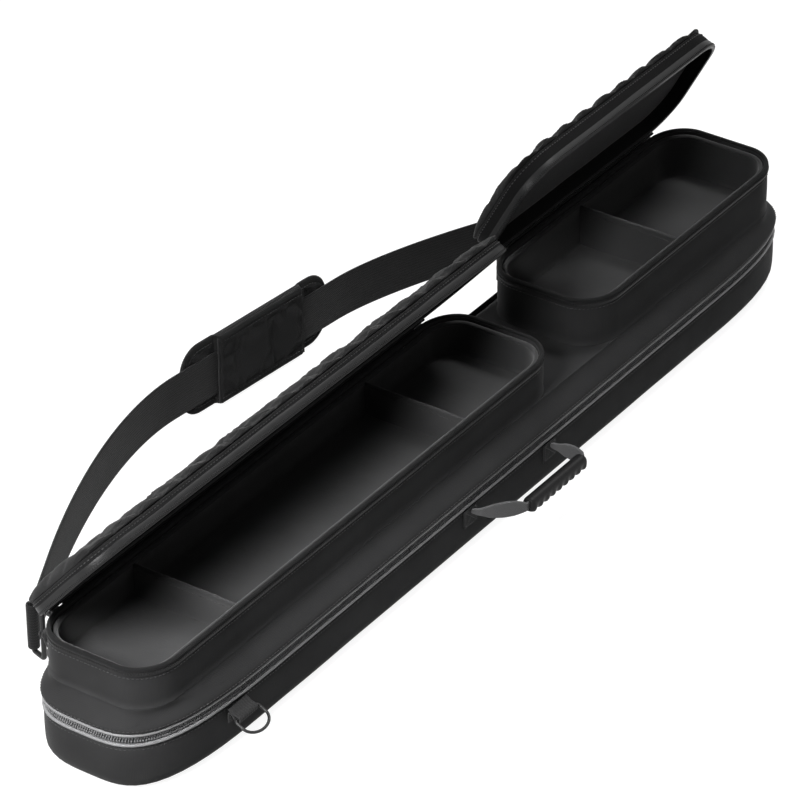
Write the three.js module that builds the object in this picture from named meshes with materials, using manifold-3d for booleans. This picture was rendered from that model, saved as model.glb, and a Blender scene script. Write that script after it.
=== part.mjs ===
// Pool cue case with two raised pockets, lying on its flat base. Millimetres, +Z up.
// The origin is the middle of the flat base. +X is the handle side, -X the hinge and strap side,
// and +Y the end with the short pocket. Both pocket lids stand open.

import * as THREE from 'three';
import { mergeVertices } from 'three/addons/utils/BufferGeometryUtils.js';
import Module from 'manifold-3d';

const wasm = await Module();
wasm.setup();

// Driving dimensions of the case body, measured at the line of the main zipper
const caseLength = 850;
const caseWidth = 126.6;
const cornerAcross = 62;
const cornerAlong = 154;
const cornerPower = 3.4;
const zipHeight = 45.2;
const clear = 0.3;
const halfGap = 0.2;
const cornerSteps = 8;

// Lower tub
const tubWall = 2.5;
const tubBulge = 0.3;
const tubBaseRadius = 13.5;
const tubBaseSteps = 4;
const tubRimRound = 1;

// Main zipper: a tape with a tooth row, and a piping cord, on each half
const pipingRadius = 1.25;
const pipingOut = 0.3;
const pipingSides = 6;
const toothHeight = 2.4;
const toothOut = 0.6;
const tapeThickness = 1.2;
const lowerTapeHeight = 13;
const upperTapeHeight = 7;
const zipEndGap = 9;
const zipEnd = caseLength / 2 - cornerAlong - zipEndGap;

// Upper shell, from the zipper to the flat saddle that carries the pockets
const shellWall = 3.5;
const shellOverhang = 1.8;
const shoulderStart = 52.8;
const saddleHeight = 67;
const saddleMargin = 1;
const shoulderSteps = 5;

// Main hinge strip of folded fabric
const leafThickness = 0.8;
const leafHeight = 14;
const leafEndGap = 4;

// Foam inside the two halves
const cradleTop = 34;
const buttRadius = 13.5;
const buttSpacing = 32;
const shaftRadius = 8.5;
const shaftSpacing = 83;
const grooveEndGap = 40;
const grooveLength = caseLength - 2 * grooveEndGap;
const grooveSides = 16;
const liningPadLow = 56.5;
const liningPadGap = 0.6;

// Pockets
const pocketWidth = 102;
const pocketCornerAcross = 28;
const pocketCornerAlong = 33;
const pocketCornerPower = 2;
const longPocketEndGap = 11;
const longPocketNear = longPocketEndGap - caseLength / 2;
const longPocketFar = 90;
const shortPocketEndGap = 15;
const shortPocketNear = 139.6;
const shortPocketFar = caseLength / 2 - shortPocketEndGap;
const longRimHeight = 100.3;
const shortRimHeight = 107.9;
const pocketWall = 3;
const linerWall = 3.7;
const linerFloor = 1.7;
const lipDrop = 3.5;
const rimTapeTop = 1.2;
const rimTapeSide = 0.7;
const rimTapeHeight = 6.5;
const longNearCell = 108.5;
const longMiddleCell = 280.5;
const shortFarCell = 144;
const longDividers = [longPocketNear + longNearCell, longPocketNear + longNearCell + longMiddleCell];
const shortDividers = [shortPocketFar - shortFarCell];
const dividerThickness = 3;
const dividerDrop = 1.2;

// Pocket lids
const longLidDepth = 16.9;
const shortLidDepth = 22;
const longLidAngle = 49;
const shortLidAngle = 61.9;
const lidWall = 2.5;
const lidLining = 1.5;
const quiltPitch = 27;
const quiltEdge = 1;
const quiltPuff = 2;
const quiltSpread = 0.9;
const quiltCrown = 2.6;
const quiltValley = 0.45;
const quiltInset = 1.5;
const quiltStepsPerChannel = 4;
const lidLeafHeight = 7;
const lidLeafEndGap = 6;

// Carrying handle on the front wall
const handleMiddle = 4.5;
const handleSpan = 105;
const handleReach = 30;
const handleLift = 1.5;
const webThickness = 2.4;
const handleWebHeight = 12;
const gripWebHeight = 6.5;
const gripLength = 72;
const gripShift = 11;
const gripWidth = 10.5;
const gripHeight = 11.5;
const gripSides = 12;
const gripBendGap = 4;
const handleHeight = 36;
const patchThickness = 1.2;
const patchWidth = 17;
const patchHeight = 15;
const rootRadius = 1.3;

// D-rings and their webbing tabs
const ringWidth = 26;
const ringDepth = 18;
const ringCorner = 1;
const frontRingDepth = 16.5;
const frontRingBow = 9;
const frontRingWire = 1.1;
const strapRingWire = 1.5;
const tabWidth = 21;
const tabThickness = 2;
const tabLoopWall = 1.5;
const tabLoopGap = 0.5;
const frontTabFlap = 12;
const strapTabFlap = 16;
const frontTabFromEnd = 90.5;
const frontTabMiddle = frontTabFromEnd - caseLength / 2;
const frontRingHeight = 32;
const frontRingOut = 8.7;
const frontRingTilt = 25;
const strapRingOut = 7.5;
const wireSides = 8;
const ringSteps = 12;

// Shoulder strap, standing on its edge behind the case
const strapWidth = 38;
const strapThickness = 2;
const strapRingFromEnd = 79.5;
const strapRingPlace = caseLength / 2 - strapRingFromEnd;
const padWidth = 60.6;
const padLength = 164;
const padBack = 3.5;
const padFront = 3;
const padCorner = 20;
const padNearSlot = 37;
const padFarSlot = 32;
const padStep = 1.5;
const padRaise = 1.7;
const strapMiddleZ = 31;
const strapReachNear = 209.2;
const strapReachFar = 189.6;
const strapStraightNear = -41;
const strapStraightFar = 143;
const strapEyeReach = 115;
const strapEyeToRing = 11.8;
const strapEyeAlong = strapRingPlace - strapEyeToRing;
const strapEndStraight = 60;
const strapEndSlope = 26.5;
const strapEndPull = 0.38;
const strapStraightPull = 0.24;
const strapCurveSteps = 11;
const eyeHole = 2.55;
const adjusterLength = 18;
const adjusterPlate = 2;
const adjusterBar = 2.5;
const adjusterPlace = 36;

// Snap hooks on the strap's ends
const hookRadius = 8.5;
const hookWire = 1.8;
const loopWire = 2;
const loopHeight = 44;
const loopDepth = 12.5;
const loopCorner = 2.5;
const postRadius = 3;
const gateWire = 1.1;
const gateStart = 142;
const gateEnd = 67;
const bowStart = 150;
const bowEnd = 390;
const bowSteps = 16;

// Zipper sliders and their pulls
const sliderLength = 9;
const sliderThickness = 4;
const sliderHeight = 8;
const pullLength = 22;
const pullWidth = 4;
const pinRadius = 0.8;
const knuckleRadius = 1.9;
const pullThickness = 1.3;
const earThickness = 1.1;
const earHalfHeight = 1.3;
const earRoot = 1;
const notchDepth = 1.6;
const notchHeight = 2.4;

// Colours and finishes
const black = (color, roughness, metalness = 0) => (
  new THREE.MeshStandardMaterial({ color, roughness, metalness })
);
const fabric = black(0x1b1b1c, 0.85);
const lining = black(0x242425, 0.9);
const piping = black(0x6e6e70, 0.45);
const teeth = black(0x58585a, 0.4);
const webbing = black(0x202021, 0.75);
const padding = black(0x18181a, 0.9);
const foam = black(0x2a2a2c, 0.95);
const plastic = black(0x141415, 0.45);
const metal = black(0x2c2c2e, 0.35, 0.8);

// General tools

const radians = THREE.MathUtils.degToRad;

function flipIfInsideOut(points, faces) {
  let volume = 0;
  for (const [a, b, c] of faces) {
    const cross = new THREE.Vector3().crossVectors(points[b], points[c]);
    volume += points[a].dot(cross);
  }
  return volume < 0 ? faces.map(([a, b, c]) => [a, c, b]) : faces;
}

function geometryOf(points, faces) {
  const geometry = new THREE.BufferGeometry();
  const flat = points.flatMap((p) => [p.x, p.y, p.z]);
  geometry.setAttribute('position', new THREE.Float32BufferAttribute(flat, 3));
  geometry.setIndex(flipIfInsideOut(points, faces).flat());
  return geometry;
}

// The triangles that close a flat ring, facing the way the ring turns
function capFaces(ring) {
  const normal = new THREE.Vector3();
  ring.forEach((p, i) => {
    const q = ring[(i + 1) % ring.length];
    normal.x += (p.y - q.y) * (p.z + q.z);
    normal.y += (p.z - q.z) * (p.x + q.x);
    normal.z += (p.x - q.x) * (p.y + q.y);
  });
  normal.normalize();
  const across = new THREE.Vector3(0, 0, 1);
  if (Math.abs(normal.z) > 0.7) across.set(1, 0, 0);
  const u = new THREE.Vector3().crossVectors(across, normal).normalize();
  const v = new THREE.Vector3().crossVectors(normal, u);
  const flat = ring.map((p) => new THREE.Vector2(p.dot(u), p.dot(v)));
  return THREE.ShapeUtils.triangulateShape(flat, []).map(([a, b, c]) => {
    const ab = flat[b].clone().sub(flat[a]);
    const ac = flat[c].clone().sub(flat[a]);
    return ab.cross(ac) < 0 ? [a, c, b] : [a, b, c];
  });
}

// A closed body through rings of equally many points; a loop joins the last ring to the first
function bodyOf(rings, loop = false) {
  const count = rings[0].length;
  const points = rings.flat();
  const faces = [];
  const spans = loop ? rings.length : rings.length - 1;
  for (let r = 0; r < spans; r += 1) {
    const low = r * count;
    const high = ((r + 1) % rings.length) * count;
    for (let k = 0; k < count; k += 1) {
      const next = (k + 1) % count;
      faces.push([low + k, low + next, high + next]);
      faces.push([low + k, high + next, high + k]);
    }
  }
  if (!loop) {
    const last = (rings.length - 1) * count;
    capFaces(rings[0]).forEach(([a, b, c]) => faces.push([a, c, b]));
    capFaces(rings.at(-1)).forEach(([a, b, c]) => faces.push([last + a, last + b, last + c]));
  }
  return geometryOf(points, faces);
}

function solidOf(geometry) {
  const bare = geometry.clone();
  bare.deleteAttribute('normal');
  bare.deleteAttribute('uv');
  const merged = mergeVertices(bare, 1e-4);
  const vertProperties = new Float32Array(merged.attributes.position.array);
  const triVerts = new Uint32Array(merged.index.array);
  return new wasm.Manifold(new wasm.Mesh({ numProp: 3, vertProperties, triVerts }));
}

function geometryFromSolid(solid) {
  const mesh = solid.getMesh();
  const geometry = new THREE.BufferGeometry();
  geometry.setAttribute('position', new THREE.BufferAttribute(mesh.vertProperties, 3));
  geometry.setIndex(new THREE.BufferAttribute(mesh.triVerts, 1));
  return geometry;
}

const join = (...parts) => geometryFromSolid(parts.map(solidOf).reduce((a, b) => a.add(b)));

const cut = (body, ...tools) => (
  geometryFromSolid(tools.map(solidOf).reduce((a, b) => a.subtract(b), solidOf(body)))
);

function boxBetween(x0, x1, y0, y1, z0, z1) {
  const box = new THREE.BoxGeometry(x1 - x0, y1 - y0, z1 - z0);
  return box.translate((x0 + x1) / 2, (y0 + y1) / 2, (z0 + z1) / 2);
}

// A cylinder along Y
function rodAlongY(radius, length, sides) {
  return new THREE.CylinderGeometry(radius, radius, length, sides);
}

// A round wire bent in one plane; its sections lie square to the path
function flatWire(points, normal, radius, loop) {
  const count = points.length;
  const rings = points.map((p, i) => {
    const before = points[loop ? (i + count - 1) % count : Math.max(i - 1, 0)];
    const after = points[loop ? (i + 1) % count : Math.min(i + 1, count - 1)];
    const along = after.clone().sub(before).normalize();
    const rise = new THREE.Vector3().crossVectors(along, normal).normalize();
    return Array.from({ length: wireSides }, (_, k) => {
      const a = (2 * Math.PI * (k + 0.5)) / wireSides;
      const across = p.clone().addScaledVector(normal, radius * Math.cos(a));
      return across.addScaledVector(rise, radius * Math.sin(a));
    });
  });
  return bodyOf(rings, loop);
}

// Plan outlines with rounded corners; a power of 2 makes them elliptical and a higher one fuller

function plan(x0, x1, y0, y1, across, along, power) {
  return { x0, x1, y0, y1, across, along, power };
}

const curved = (value, power) => Math.sign(value) * Math.abs(value) ** (2 / power);

function cornerArcs({ x0, x1, y0, y1, across, along, power }, grow) {
  const rx = Math.max(across + grow, 1);
  const ry = Math.max(along + grow, 1);
  const left = x0 - grow + rx;
  const right = x1 + grow - rx;
  const near = y0 - grow + ry;
  const far = y1 + grow - ry;
  const corners = [[left, near, 180], [right, near, 270], [right, far, 0], [left, far, 90]];
  return corners.flatMap(([cx, cy, start]) => (
    Array.from({ length: cornerSteps + 1 }, (_, k) => {
      const a = radians(start + (90 * k) / cornerSteps);
      return [cx + rx * curved(Math.cos(a), power), cy + ry * curved(Math.sin(a), power)];
    })
  ));
}

const ring = (box, grow, z) => cornerArcs(box, grow).map(([x, y]) => new THREE.Vector3(x, y, z));

// A section of [grow, z] points carried all round an outline
const band = (box, section) => bodyOf(section.map(([grow, z]) => ring(box, grow, z)), true);

// The same section, open along the back wall between -end and end
function openBand(box, end, section) {
  const rails = section.map(([grow, z]) => {
    const back = box.x0 - grow;
    const arcs = cornerArcs(box, grow);
    const stations = [[back, -end], ...arcs, [back, end]];
    return stations.map(([x, y]) => new THREE.Vector3(x, y, z));
  });
  return bodyOf(rails[0].map((_, j) => rails.map((rail) => rail[j])));
}

function halfWidthAt(box, y) {
  const inNear = (box.y0 + box.along - y) / box.along;
  const inFar = (y - box.y1 + box.along) / box.along;
  const t = Math.min(Math.max(inNear, inFar, 0), 1);
  return box.x1 - box.across * (1 - (1 - t ** box.power) ** (1 / box.power));
}

// The object's tree

const cueCase = new THREE.Group();

function place(parent, name, geometry, material) {
  const mesh = new THREE.Mesh(geometry, material);
  mesh.name = name;
  parent.add(mesh);
  return mesh;
}

function hingedGroup(x, y, z, openingAngle) {
  const group = new THREE.Group();
  group.position.set(x, y, z);
  group.rotation.y = -radians(openingAngle);
  cueCase.add(group);
  return group;
}

const body = plan(
  -caseWidth / 2,
  caseWidth / 2,
  -caseLength / 2,
  caseLength / 2,
  cornerAcross,
  cornerAlong,
  cornerPower,
);
function pocketPlan(near, far, rim) {
  const half = pocketWidth / 2;
  const outline = plan(-half, half, near, far, pocketCornerAcross, pocketCornerAlong, pocketCornerPower);
  return { ...outline, rim };
}
const longPocket = pocketPlan(longPocketNear, longPocketFar, longRimHeight);
const shortPocket = pocketPlan(shortPocketNear, shortPocketFar, shortRimHeight);

const pipingOffset = halfGap + toothHeight + clear + pipingRadius;
const tubTop = zipHeight - pipingOffset - pipingRadius - clear;
const shellBottom = zipHeight + pipingOffset + pipingRadius + clear;

// Lower half

function tubShell() {
  const outside = [];
  const inside = [];
  for (let k = 0; k <= tubBaseSteps; k += 1) {
    const a = radians((90 * k) / tubBaseSteps);
    const outerInset = tubBaseRadius * (1 - Math.sin(a));
    const innerRadius = tubBaseRadius - tubWall;
    const innerInset = tubWall + innerRadius * (1 - Math.sin(a));
    outside.push(ring(body, tubBulge - outerInset, tubBaseRadius * (1 - Math.cos(a))));
    inside.unshift(ring(body, tubBulge - innerInset, tubWall + innerRadius * (1 - Math.cos(a))));
  }
  const rim = [
    ring(body, tubBulge, tubTop - tubRimRound),
    ring(body, tubBulge - tubRimRound, tubTop),
    ring(body, tubBulge - tubWall, tubTop),
  ];
  return bodyOf([...outside, ...rim, ...inside]);
}

const pipingBack = pipingOut - pipingRadius;
const lowerTapeOut = Math.min(tubBulge - tubWall, pipingBack) - clear;
const upperTapeOut = Math.min(shellOverhang - shellWall, pipingBack) - clear;
const lowerTapeIn = lowerTapeOut - tapeThickness;

function cueCradle() {
  const innerRadius = tubBaseRadius - tubWall;
  const rings = [];
  for (let k = 0; k < tubBaseSteps; k += 1) {
    const a = radians((90 * k) / tubBaseSteps);
    const inset = tubWall + innerRadius * (1 - Math.sin(a)) + clear;
    const z = tubWall + innerRadius * (1 - Math.cos(a)) + clear;
    rings.push(ring(body, Math.min(tubBulge - inset, lowerTapeIn - clear), z));
  }
  rings.push(ring(body, lowerTapeIn - clear, tubBaseRadius));
  rings.push(ring(body, lowerTapeIn - clear, cradleTop));
  const groove = (x, radius) => (
    rodAlongY(radius, grooveLength, grooveSides).translate(x, 0, cradleTop)
  );
  return cut(
    bodyOf(rings),
    groove(-buttSpacing / 2, buttRadius),
    groove(buttSpacing / 2, buttRadius),
    groove(-shaftSpacing / 2, shaftRadius),
    groove(shaftSpacing / 2, shaftRadius),
  );
}

// A zipper tape with its tooth row; way is -1 on the lower half and 1 on the upper half
function zipperTape(way, out, height) {
  const edge = zipHeight + way * halfGap;
  const toothBack = edge + way * toothHeight;
  const hidden = edge + way * height;
  return openBand(body, zipEnd, [
    [out - tapeThickness, hidden],
    [out, hidden],
    [out, toothBack],
    [toothOut, toothBack],
    [toothOut, edge],
    [out - tapeThickness, edge],
  ]);
}

function pipingCord(way) {
  const z = zipHeight + way * pipingOffset;
  const section = Array.from({ length: pipingSides }, (_, k) => {
    const a = (2 * Math.PI * k) / pipingSides;
    return [pipingOut + pipingRadius * Math.cos(a), z + pipingRadius * Math.sin(a)];
  });
  return band(body, section);
}

const lowerLeafOut = caseWidth / 2 + Math.max(tubBulge, pipingOut + pipingRadius) + clear;
const upperLeafOut = caseWidth / 2 + shellOverhang + clear;
const leafEnd = zipEnd - leafEndGap;

function hingeLeaf(out, edge, height) {
  const low = Math.min(edge, edge + height);
  const high = Math.max(edge, edge + height);
  return boxBetween(-out - leafThickness, -out, -leafEnd, leafEnd, low, high);
}

place(cueCase, 'lower_tub', tubShell(), fabric);
place(cueCase, 'cue_cradle', cueCradle(), foam);
place(cueCase, 'lower_zipper_tape', zipperTape(-1, lowerTapeOut, lowerTapeHeight), teeth);
place(cueCase, 'lower_piping', pipingCord(-1), piping);
const lowerLeaf = hingeLeaf(lowerLeafOut, zipHeight - halfGap, -leafHeight);
place(cueCase, 'main_hinge_lower_leaf', lowerLeaf, fabric);

// Upper half

// The shell's outline at a share of the way up the shoulder, from 0 at the zipper to 1 at the saddle
function shoulderPlan(share) {
  const mix = (low, high) => THREE.MathUtils.lerp(low, high, share);
  const halfX = mix(caseWidth / 2 + shellOverhang, pocketWidth / 2 + saddleMargin);
  const near = mix(-caseLength / 2 - shellOverhang, longPocketNear - saddleMargin);
  const far = mix(caseLength / 2 + shellOverhang, shortPocketFar + saddleMargin);
  const across = mix(cornerAcross + shellOverhang, pocketCornerAcross + saddleMargin);
  const along = mix(cornerAlong + shellOverhang, pocketCornerAlong + saddleMargin);
  return plan(-halfX, halfX, near, far, across, along, mix(cornerPower, pocketCornerPower));
}

function shoulderRings(grow, drop) {
  const rings = [];
  for (let k = 0; k <= shoulderSteps; k += 1) {
    const u = k / shoulderSteps;
    const share = (1 - Math.cos(Math.PI * u)) / 2;
    const z = THREE.MathUtils.lerp(shoulderStart, saddleHeight, u) - drop * share;
    rings.push(ring(shoulderPlan(share), grow, z));
  }
  return rings;
}

function upperShell() {
  const outside = [ring(shoulderPlan(0), 0, shellBottom), ...shoulderRings(0, 0)];
  const foot = ring(shoulderPlan(0), -shellWall, shellBottom);
  const inside = [foot, ...shoulderRings(-shellWall, shellWall)];
  return bodyOf([...inside.reverse(), ...outside]);
}

// The soft lining under the saddle, shaped to the inside of the shoulder
function liningPad() {
  const inside = shoulderRings(-shellWall - liningPadGap, shellWall + liningPadGap);
  const rings = inside.filter((points) => points[0].z > liningPadLow);
  const low = rings[0].map((p) => new THREE.Vector3(p.x, p.y, liningPadLow));
  return bodyOf([low, ...rings]);
}

place(cueCase, 'upper_shell', upperShell(), fabric);
place(cueCase, 'upper_lining_pad', liningPad(), lining);
place(cueCase, 'upper_zipper_tape', zipperTape(1, upperTapeOut, upperTapeHeight), teeth);
place(cueCase, 'upper_piping', pipingCord(1), piping);
const upperLeaf = hingeLeaf(upperLeafOut, zipHeight + halfGap, leafHeight);
place(cueCase, 'main_hinge_upper_leaf', upperLeaf, fabric);

// Pockets on the saddle

const wallFoot = saddleHeight + clear;
const linerOut = -pocketWall - clear;
const linerIn = linerOut - linerWall;
const floorTop = wallFoot + linerFloor;
const tapeSideIn = clear;
const tapeSideOut = clear + rimTapeSide;

function pocketWallBand(box) {
  const wallTop = box.rim - rimTapeTop - clear;
  return band(box, [[0, wallFoot], [0, wallTop], [-pocketWall, wallTop], [-pocketWall, wallFoot]]);
}

function rimTape(box) {
  return band(box, [
    [tapeSideIn, box.rim - rimTapeHeight],
    [tapeSideOut, box.rim - rimTapeHeight],
    [tapeSideOut, box.rim],
    [-pocketWall, box.rim],
    [-pocketWall, box.rim - rimTapeTop],
    [tapeSideIn, box.rim - rimTapeTop],
  ]);
}

function pocketLiner(box) {
  const lip = box.rim - lipDrop;
  return bodyOf([
    ring(box, linerOut, wallFoot),
    ring(box, linerOut, lip),
    ring(box, linerIn, lip),
    ring(box, linerIn, floorTop),
  ]);
}

function divider(box, y) {
  const half = pocketWidth / 2 + linerIn - clear;
  const near = y - dividerThickness / 2;
  const top = box.rim - lipDrop - dividerDrop;
  return boxBetween(-half, half, near, near + dividerThickness, floorTop + clear, top);
}

const lidLeafOut = pocketWidth / 2 + tapeSideOut + clear;
const lidAxisX = -lidLeafOut - leafThickness;

function lidLeafBox(box, low, high) {
  const near = box.y0 + pocketCornerAlong + lidLeafEndGap;
  const far = box.y1 - pocketCornerAlong - lidLeafEndGap;
  return boxBetween(-lidLeafOut - leafThickness, -lidLeafOut, near, far, low, high);
}

function addPocket(name, box, dividerPlaces) {
  place(cueCase, `${name}_pocket_wall`, pocketWallBand(box), fabric);
  place(cueCase, `${name}_pocket_rim_tape`, rimTape(box), teeth);
  place(cueCase, `${name}_pocket_liner`, pocketLiner(box), lining);
  dividerPlaces.forEach((y, i) => {
    place(cueCase, `${name}_pocket_divider_${i + 1}`, divider(box, y), lining);
  });
  const leaf = lidLeafBox(box, box.rim - lidLeafHeight, box.rim);
  place(cueCase, `${name}_pocket_hinge_leaf`, leaf, fabric);
}

addPocket('long', longPocket, longDividers);
addPocket('short', shortPocket, shortDividers);

// Pocket lids, drawn closed and turned open about the hinge line at the back

function lidTape(box) {
  const lidFoot = box.rim + 2 * halfGap;
  return band(box, [
    [tapeSideIn, lidFoot + rimTapeHeight],
    [tapeSideOut, lidFoot + rimTapeHeight],
    [tapeSideOut, lidFoot],
    [-pocketWall, lidFoot],
    [-pocketWall, lidFoot + rimTapeTop],
    [tapeSideIn, lidFoot + rimTapeTop],
  ]);
}

function lidTray(box, top) {
  const foot = box.rim + 2 * halfGap + rimTapeTop + clear;
  return bodyOf([
    ring(box, -lidWall, top - lidWall),
    ring(box, -lidWall, foot),
    ring(box, 0, foot),
    ring(box, 0, top),
  ]);
}

// The quilted top: a crowned cushion drawn in along seams that run across the lid
function quiltedTop(box, low) {
  const inner = plan(
    box.x0 + quiltInset,
    box.x1 - quiltInset,
    box.y0 + quiltInset,
    box.y1 - quiltInset,
    box.across - quiltInset,
    box.along - quiltInset,
    box.power,
  );
  const length = inner.y1 - inner.y0;
  const channels = Math.round(length / quiltPitch);
  const steps = channels * quiltStepsPerChannel;
  const across = [1, 0.86, 0.5, 0, -0.5, -0.86, -1];
  const sections = [];
  for (let j = 0; j <= steps; j += 1) {
    const y = inner.y0 + (length * j) / steps;
    const foot = halfWidthAt(inner, y);
    const puff = Math.abs(Math.sin((Math.PI * j) / quiltStepsPerChannel));
    const atEnd = j === 0 || j === steps;
    const half = foot + quiltSpread * puff;
    const edge = low + quiltEdge + quiltPuff * puff;
    const rise = atEnd ? 0 : quiltCrown * THREE.MathUtils.lerp(quiltValley, 1, puff);
    const top = across.map((s) => new THREE.Vector3(half * s, y, edge + rise * (1 - s ** 4)));
    const bottom = [new THREE.Vector3(-foot, y, low), new THREE.Vector3(foot, y, low)];
    sections.push([...top, ...bottom]);
  }
  return bodyOf(sections);
}

function addLid(name, box, depth, angle) {
  const lidAxisZ = box.rim + halfGap;
  const lid = hingedGroup(lidAxisX, 0, lidAxisZ, angle);
  const top = box.rim + depth - quiltEdge - quiltPuff - quiltCrown - clear;
  const local = (geometry) => geometry.translate(-lidAxisX, 0, -lidAxisZ);
  place(lid, `${name}_lid_shell`, local(lidTray(box, top)), fabric);
  place(lid, `${name}_lid_quilted_top`, local(quiltedTop(box, top + clear)), padding);
  place(lid, `${name}_lid_zipper_tape`, local(lidTape(box)), piping);
  const liningHigh = top - lidWall - clear;
  const liningRings = [
    ring(box, -lidWall - clear, liningHigh - lidLining),
    ring(box, -lidWall - clear, liningHigh),
  ];
  place(lid, `${name}_lid_lining`, local(bodyOf(liningRings)), lining);
  const leafFoot = box.rim + 2 * halfGap;
  const leaf = lidLeafBox(box, leafFoot, leafFoot + lidLeafHeight);
  place(lid, `${name}_lid_hinge_leaf`, local(leaf), fabric);
}

addLid('long', longPocket, longLidDepth, longLidAngle);
addLid('short', shortPocket, shortLidDepth, shortLidAngle);

// Carrying handle

const frontWall = caseWidth / 2 + tubBulge;
const patchOut = frontWall + clear + patchThickness;
const handlePivotX = patchOut + clear + rootRadius;

// The handle's webbing from each sewn root to the grip: [out, distance from the middle, height]
function handleWebbing() {
  const rounded = rootRadius * Math.SQRT1_2;
  const half = (side) => {
    const rootY = handleSpan / 2;
    const bendY = gripLength / 2 + side * gripShift + gripBendGap;
    const between = (share) => THREE.MathUtils.lerp(rootY, bendY, share);
    return [
      [-rounded, rootY, 2 * rounded],
      [0, rootY, 2 * rootRadius],
      [handleReach * 0.2, between(0.1), handleWebHeight * 0.75],
      [handleReach * 0.4, between(0.3), handleWebHeight],
      [handleReach * 0.78, between(0.82), handleWebHeight * 0.92],
      [handleReach * 0.95, between(1) - gripBendGap * 0.1, gripWebHeight],
      [handleReach, between(1) - gripBendGap * 0.6, gripWebHeight],
    ];
  };
  const nearHalf = half(-1).map(([x, y, h]) => [x, -y, h]).reverse();
  const path = [...half(1), ...nearHalf];
  const sections = path.map(([x, y, height], i) => {
    const [ax, ay] = path[Math.max(i - 1, 0)];
    const [bx, by] = path[Math.min(i + 1, path.length - 1)];
    const along = new THREE.Vector2(bx - ax, by - ay).normalize();
    const dx = (along.y * webThickness) / 2;
    const dy = (-along.x * webThickness) / 2;
    return [[1, 1], [1, -1], [-1, -1], [-1, 1]].map(([side, up]) => (
      new THREE.Vector3(x + side * dx, y + side * dy, (up * height) / 2)
    ));
  });
  return bodyOf(sections);
}

// The grip: a soft sleeve with rounded ends round the webbing
function handleGrip() {
  const ends = [[-1, 0.84], [-0.94, 0.96], [-0.6, 1], [0.6, 1], [0.94, 0.96], [1, 0.84]];
  const oval = (t, halfX, halfZ, power) => Array.from({ length: gripSides }, (_, k) => {
    const a = (2 * Math.PI * (k + 0.5)) / gripSides;
    const x = curved(Math.cos(a), power) * halfX;
    const z = curved(Math.sin(a), power) * halfZ;
    return new THREE.Vector3(handleReach + x, gripShift + (t * gripLength) / 2, z);
  });
  const outside = ends.map(([t, share]) => (
    oval(t, (gripWidth / 2) * share, (gripHeight / 2) * share, 2.5)
  ));
  const slotX = webThickness / 2 + clear;
  const slotZ = gripWebHeight / 2 + clear;
  const inside = [1, -1].map((t) => oval(t, slotX * 1.25, slotZ * 1.1, 5.7));
  return bodyOf([...outside, ...inside], true);
}

const handle = hingedGroup(handlePivotX, handleMiddle, handleHeight, handleLift);
place(handle, 'handle_webbing', handleWebbing(), webbing);
place(handle, 'handle_grip', handleGrip(), plastic);

[['near', -1], ['far', 1]].forEach(([end, side]) => {
  const middle = handleMiddle + (side * handleSpan) / 2;
  const top = Math.min(handleHeight + patchHeight / 2, tubTop - tubRimRound);
  const patch = boxBetween(
    frontWall + clear,
    patchOut,
    middle - patchWidth / 2,
    middle + patchWidth / 2,
    top - patchHeight,
    top,
  );
  place(cueCase, `handle_${end}_patch`, patch, webbing);
});

// D-rings and tabs, drawn with the wall at x = 0 and pointing along +X

function dRing(wireRadius, depth, bow) {
  const half = ringWidth / 2;
  const straight = depth - bow;
  const arc = Array.from({ length: ringSteps + 1 }, (_, k) => {
    const a = radians(-90 + (180 * k) / ringSteps);
    return new THREE.Vector3(straight + bow * Math.cos(a), half * Math.sin(a), 0);
  });
  const back = [
    new THREE.Vector3(0, half - ringCorner, 0),
    new THREE.Vector3(0, ringCorner - half, 0),
  ];
  const start = new THREE.Vector3(ringCorner, -half, 0);
  const end = new THREE.Vector3(ringCorner, half, 0);
  const path = [start, ...arc, end, ...back];
  return flatWire(path, new THREE.Vector3(0, 0, 1), wireRadius, true);
}

// A folded tab: a flap sewn to the wall, a neck, and a loop round the ring's straight bar
function ringTab(flapLow, flapHigh, neckZ, out, loopZ, wireRadius) {
  const hole = wireRadius + tabLoopGap;
  const loop = rodAlongY(hole + tabLoopWall, tabWidth, 14).translate(out, 0, loopZ);
  const bore = rodAlongY(hole, tabWidth + 2, 14).translate(out, 0, loopZ);
  const half = tabWidth / 2;
  const flap = boxBetween(clear, clear + tabThickness, -half, half, flapLow, flapHigh);
  const from = new THREE.Vector2(clear + tabThickness / 2, neckZ);
  const reach = new THREE.Vector2(out, loopZ).sub(from);
  const length = reach.length();
  const neck = boxBetween(0, length, -half, half, -tabThickness / 2, tabThickness / 2);
  neck.rotateY(-reach.angle()).translate(from.x, 0, from.y);
  return cut(join(flap, neck, loop), bore);
}

// The tub's half width where the inner edge of a tab lies against it
const tabWallAt = (y) => halfWidthAt(body, Math.abs(y) - tabWidth / 2) + tubBulge;

const frontTabTop = tubTop - tubRimRound - clear;
const frontTab = ringTab(
  frontTabTop - frontTabFlap,
  frontTabTop,
  frontTabTop - tabThickness,
  frontRingOut,
  frontRingHeight,
  frontRingWire,
);
const frontTabWall = tabWallAt(frontTabMiddle);
place(cueCase, 'front_ring_tab', frontTab.translate(frontTabWall, frontTabMiddle, 0), webbing);
const frontRingX = frontTabWall + frontRingOut;
const frontRing = hingedGroup(frontRingX, frontTabMiddle, frontRingHeight, -frontRingTilt);
place(frontRing, 'front_d_ring', dRing(frontRingWire, frontRingDepth, frontRingBow), metal);

// Shoulder strap, drawn in plan and standing on its edge

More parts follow.
